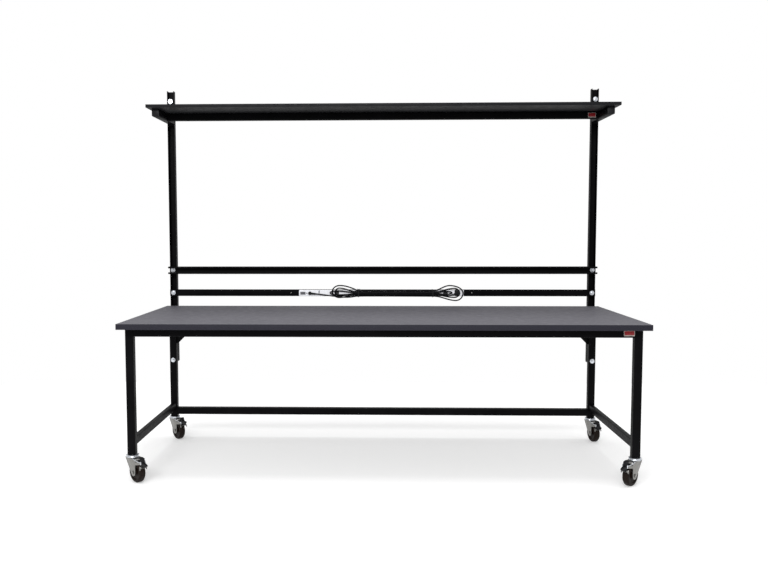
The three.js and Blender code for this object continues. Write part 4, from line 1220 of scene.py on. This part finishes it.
def caster_top(name, stand, carried):
    """Crown with stem and kingpin, bearing race, fork and the rolled edges of its horns. The rolled edges
    take the brighter zinc, a painted highlight along the horns' top edges
    """
    crown_bottom = CASTER_HEIGHT - CROWN_THICKNESS
    fork_top = crown_bottom - BEARING_GAP - RACE_THICKNESS
    nut_top = fork_top - FORK_PLATE - BEARING_GAP

    crown = Solid()
    edge = offset(CROWN_EDGE, CROWN_RADIUS, crown_bottom)
    crown.turned([(0, crown_bottom), *edge, (0, CASTER_HEIGHT)], WIDE_STEPS, stand)
    crown.turned(pin(TUBE / 2 - TUBE_WALL - STEM_CLEARANCE, CASTER_HEIGHT - STEM_OVERLAP,
                     CASTER_HEIGHT + STEM_LENGTH, high=STEM_CHAMFER), place=stand)
    crown.turned(pin(KINGPIN_RADIUS, nut_top - KINGPIN_NUT_HEIGHT - KINGPIN_TAIL, crown_bottom + STEM_OVERLAP,
                     KINGPIN_CHAMFER), KNOB_STEPS, stand)
    hex_head(crown, KINGPIN_NUT, -nut_top, KINGPIN_NUT_HEIGHT, stand @ spin(HALF, "X"))
    crown.piece(f"{name}_crown_form", ZINC, replaces=f"{name}_stem_crown", smooth=40)

    race = Solid().turned(offset(RACE_EDGE, RACE_RADIUS, fork_top), WIDE_STEPS, stand)
    race.piece(f"{name}_race", ZINC, body=carried, smooth=40)

    refined(f"{name}_fork", CHEEK, body=carried, arris=1.0, smooth=34)
    rims = Solid()
    for side in (-1, 1):
        edge = []
        for reach, z in HORN_EDGE:
            share = max(0, reach - HORN_START) / (HORN_REACH - HORN_START)
            inside = (FORK_INSIDE + (HORN_INSIDE - FORK_INSIDE) * share) / 2
            x = side * (inside + FORK_PLATE - HORN_INSET)
            edge.append(stand @ Vector((x, -reach, z - HORN_ROLL / 2)))
        swept(rims, smoothed(edge, HORN_SMOOTH), HORN_ROLL, HORN_SIDES)
    # Painted highlight: the rolled edges are real shape, but they get the brighter zinc rather than the
    # fork's darker zinc, so the horns' top edges show a highlight
    rims.piece(f"{name}_horn_highlight_rims", ZINC, body=carried, smooth=60)


def caster_wheel(name, stand, carried):
    """Axle with a head on either side, wheel and its two bushes"""
    across = stand @ moved((0, -TRAIL, AXLE_HEIGHT)) @ spin(QUARTER, "Y")
    sides = [across @ spin(turn, "X") for turn in (0, HALF)]
    face = FORK_INSIDE / 2 + FORK_PLATE + SEAT
    axle = Solid().turned(pin(AXLE_RADIUS, -face, face), PIN_STEPS, across)
    for out in sides:
        axle.turned(pin(AXLE_HEAD, face, face + AXLE_COLLAR, *AXLE_COLLAR_CHAMFERS), place=out)
        hex_head(axle, AXLE_HEX, face + AXLE_HEX_START, AXLE_HEX_HEIGHT, out @ spin(AXLE_HEX_TURN))
    axle.piece(f"{name}_axle_form", CHEEK, body=carried, replaces=f"{name}_axle", smooth=34)

    mirrored = [(r, -x) for r, x in reversed(WHEEL_SECTION)]
    wheel = Solid().turned([*WHEEL_SECTION, *mirrored, WHEEL_SECTION[0]], WHEEL_STEPS, across)
    wheel.piece(f"{name}_wheel_form", TREAD, body=f"{name}_roller", replaces=f"{name}_wheel", smooth=38)
    bushes = Solid()
    for out in sides:
        bushes.turned(BUSH_SECTION, place=out)
    bushes.piece(f"{name}_bushes", NICKEL, body=f"{name}_roller", smooth=40)


def caster_brake(name, stand):
    """Brake pedal with its knob, the knob's rivets and the shoe"""
    body = f"{name}_pedal"
    refined(f"{name}_brake_pedal", BLACK, body=body, arris=1.1, smooth=30, segments=3)
    pivot = moved((0, -PEDAL_REACH, PEDAL_HEIGHT))
    tipped = stand @ pivot @ spin(-radians(PEDAL_TIPS[name]), "X") @ pivot.inverted()
    knob_place = tipped @ moved((0, -KNOB_REACH, KNOB_HEIGHT))
    knob, shoe = Solid(), Solid()
    for turn in (-QUARTER, QUARTER):
        out = knob_place @ spin(turn, "Y")
        knob.turned(KNOB_SECTION, KNOB_STEPS, out)
        shoe.turned(RIVET_SECTION, PIN_STEPS, out)
    knob.piece(f"{name}_pedal_knob", BLACK, body=body, smooth=40)
    prism([(-reach, z) for reach, z in SHOE_BRIDGE], "x", -SHOE_SIDE, SHOE_SIDE, shoe, tipped)
    leg = filleted([(-reach, z) for reach, z in SHOE_LEG], SHOE_LEG_RADII, SHOE_LEG_STEPS)
    for side in (-1, 1):
        prism(leg, "x", side * (SHOE_SIDE - SHOE_PLATE), side * SHOE_SIDE, shoe, tipped)
    shoe.piece(f"{name}_brake_shoe", CHEEK, body=body, arris=0.25, smooth=40)


def caster(name, swivel):
    low, high = low_high(f"{name}_stem_crown")
    stand = moved(((low.x + high.x) / 2, (low.y + high.y) / 2, 0)) @ spin(radians(swivel))
    caster_top(name, stand, f"{name}_caster")
    caster_wheel(name, stand, f"{name}_caster")
    caster_brake(name, stand)


# Power strip

def cut_mesh(name, solid, cutters):
    """The mesh of a solid with the cutters' solid taken out"""
    piece, cutter = [new_object(name, form.mesh(name)) for form in (solid, cutters)]
    tool = piece.modifiers.new("cut", "BOOLEAN")
    tool.operation = "DIFFERENCE"
    tool.solver = "EXACT"
    tool.object = cutter
    bpy.context.view_layer.update()
    graph = bpy.context.evaluated_depsgraph_get()
    mesh = bpy.data.meshes.new_from_object(piece.evaluated_get(graph))
    for used in (piece, cutter):
        bpy.data.objects.remove(used)
    return mesh


def power_strip():
    left, right, front, z = STRIP_LOW.x, STRIP_TOP.x, STRIP_LOW.y, STRIP_MIDDLE
    rocker_x = left + ROCKER_FROM_END
    outlets = [right - OUTLET_FROM_END - k * OUTLET_PITCH for k in range(OUTLETS)]
    levels = [(inset, STRIP_CORNER, left + run) for run, inset in STRIP_END]
    levels += [(inset, STRIP_CORNER, right - run) for run, inset in reversed(STRIP_END)]
    rings = tapering("x", (front + STRIP_TOP.y) / 2, z, STRIP_DEPTH, STRIP_HEIGHT, levels)
    cutters = Solid()
    for x in outlets:
        hole = rounded(z, x, OUTLET_HEIGHT, OUTLET_WIDTH, OUTLET_CORNER)
        prism(hole, "y", front - CUTTER_OVERRUN, front + OUTLET_DEPTH, cutters)
    length, height = ROCKER_LENGTH + 2 * ROCKER_CLEARANCE, ROCKER_HEIGHT + 2 * ROCKER_CLEARANCE
    pocket = rounded(z, rocker_x, height, length, POCKET_CORNER)
    prism(pocket, "y", front - CUTTER_OVERRUN, front + POCKET_DEPTH, cutters)
    case = cut_mesh("strip_case", Solid().skin(rings), cutters)
    dress("strip_case", case, ENAMEL, replaces="strip_housing", smooth=32)

    faces, backs = Solid(), Solid()
    for x in outlets:
        outline = rounded(z, x, OUTLET_HEIGHT - 2 * OUTLET_CLEARANCE, OUTLET_WIDTH - 2 * OUTLET_CLEARANCE,
                          OUTLET_CORNER - OUTLET_CLEARANCE)
        slots = []
        for side, tall in SLOT_LENGTHS.items():
            slot_x = x + side * BLADE_SPACING / 2
            slots.append(rounded(z + SLOT_RISE, slot_x, tall, SLOT_WIDTH, SLOT_CORNER, SLOT_STEPS))
        ground = []
        for k in range(GROUND_HOLE_STEPS):
            angle = FULL * k / GROUND_HOLE_STEPS
            edge = z - GROUND_HOLE_DROP + GROUND_HOLE * cos(angle)
            ground.append((max(edge, z - GROUND_HOLE_FLOOR), x + GROUND_HOLE * sin(angle)))
        bored_plate(faces, outline, [*slots, ground], front + OUTLET_FACE, OUTLET_FACE_DEPTH)
        prism(outline, "y", *[front + depth for depth in OUTLET_BACK], backs)
    faces.piece("outlet_faces", OUTLET, smooth=30)
    backs.piece("outlet_backs", BLACK, smooth=30)

    refined("rocker_switch", ROCKER_GREY, body="rocker", arris=0.5, smooth=20, segments=3)
    rim = rounded(z, rocker_x, height + BEZEL_RIM, length + BEZEL_RIM, BEZEL_RIM_CORNER)
    hole = rounded(z, rocker_x, height - BEZEL_OVERLAP, length - BEZEL_OVERLAP, BEZEL_HOLE_CORNER)
    bezel = hollow([(loop, front + depth) for loop, depth in zip((rim, rim, hole, hole), BEZEL_LEVELS)], "y")
    bezel.piece("rocker_bezel", GREY_MARK, smooth=40)

    lamp = Solid().turned(LAMP_SECTION, PIN_STEPS, facing_front((left + LAMP_FROM_END, front, z)))
    lamp.piece("strip_lamp", LAMP, smooth=40)
    tab_x = left + TAB_FROM_END
    tab = Solid().block((tab_x - TAB_WIDTH / 2, front - TAB_RISE, STRIP_TOP.z - TAB_HEIGHT),
                        (tab_x + TAB_WIDTH / 2, front + TAB_SINK, STRIP_TOP.z - TAB_DROP))
    tab.piece("strip_tab", GREY_MARK, arris=0.5)

    screws = Solid()
    rail_front = low_high("lower_rail")[0].y
    for side in (-1, 1):
        place = facing_front((side * SCREW_REACH, rail_front, z)) @ spin(SCREW_TURN + side)
        screws.turned(SCREW_SECTION, PIN_STEPS, place)
    screws.piece("strip_screws", CHEEK, smooth=34)


# Plates

def plates():
    for name, (carrier, x, width) in PLATES.items():
        low, high = low_high(carrier)
        z = (low.z + high.z) / 2
        border = rounded(z, x, BORDER_HEIGHT, width, BORDER_CORNER)
        field = rounded(z + FIELD_RISE, x, FIELD_HEIGHT, width - FIELD_MARGIN, FIELD_CORNER)
        near, far = (low.y + depth for depth in BORDER_DEPTHS)
        prism(border, "y", near, far).piece(f"{name}_border", PALE, arris=0.25)
        near, far = (low.y + depth for depth in FIELD_DEPTHS)
        prism(field, "y", near, far).piece(f"{name}_field", RED, arris=0.2)


# Stage and light

def stage_floor():
    made = new_material("stage_floor", FLOOR_TONE, 0.9, specular=0.0)
    shader = made.node_tree.nodes[SHADER]
    set_inputs(shader, {"Emission Color": (1, 1, 1, 1), "Emission Strength": FLOOR_GLOW})
    mesh = bpy.data.meshes.new("stage_floor")
    x, y = FLOOR_REACH
    mesh.from_pydata([(-x, -y, 0), (x, -y, 0), (x, y, 0), (-x, y, 0)], [], [(0, 1, 2, 3)])
    mesh.materials.append(made)
    new_object("stage_floor", mesh)


def surroundings():
    """White to the camera, and dim to the surfaces that mirror it"""
    world = bpy.data.worlds.new("studio")
    world.use_nodes = True
    tree = world.node_tree
    white = tree.nodes["Background"]
    set_inputs(white, {"Color": (1, 1, 1, 1), "Strength": 1})
    dim = add_node(tree, "ShaderNodeBackground", {"Color": (1, 1, 1, 1), "Strength": SURROUND}, {})
    rays = tree.nodes.new("ShaderNodeLightPath")
    parts = (rays.outputs["Is Camera Ray"], dim.outputs["Background"], white.outputs["Background"])
    mix = add_node(tree, "ShaderNodeMixShader", {}, dict(enumerate(parts)))
    tree.links.new(mix.outputs["Shader"], tree.nodes["World Output"].inputs["Surface"])
    bpy.context.scene.world = world


def studio():
    stage_floor()
    surroundings()
    for name, (place, target, width, height, power) in LIGHTS.items():
        data = bpy.data.lights.new(name, "AREA")
        data.shape = "RECTANGLE"
        data.size = width
        data.size_y = height
        data.energy = power
        light = new_object(name, data)
        light.location = place
        light.rotation_euler = (Vector(target) - Vector(place)).to_track_quat("-Z", "Y").to_euler()
    bpy.context.scene.view_settings.view_transform = "Standard"
    bpy.context.scene.view_settings.look = "None"


base_frame()
uprights()
rails()
worktop()
shelf()
for beginning in ("left", "right"):
    for held in ("leg", "lower_rail", "upper_rail", "shelf"):
        bolt_form(f"{beginning}_{held}_bolt")
for corner_name, corner_swivel in SWIVELS.items():
    caster(corner_name, corner_swivel)
power_strip()
plates()
studio()
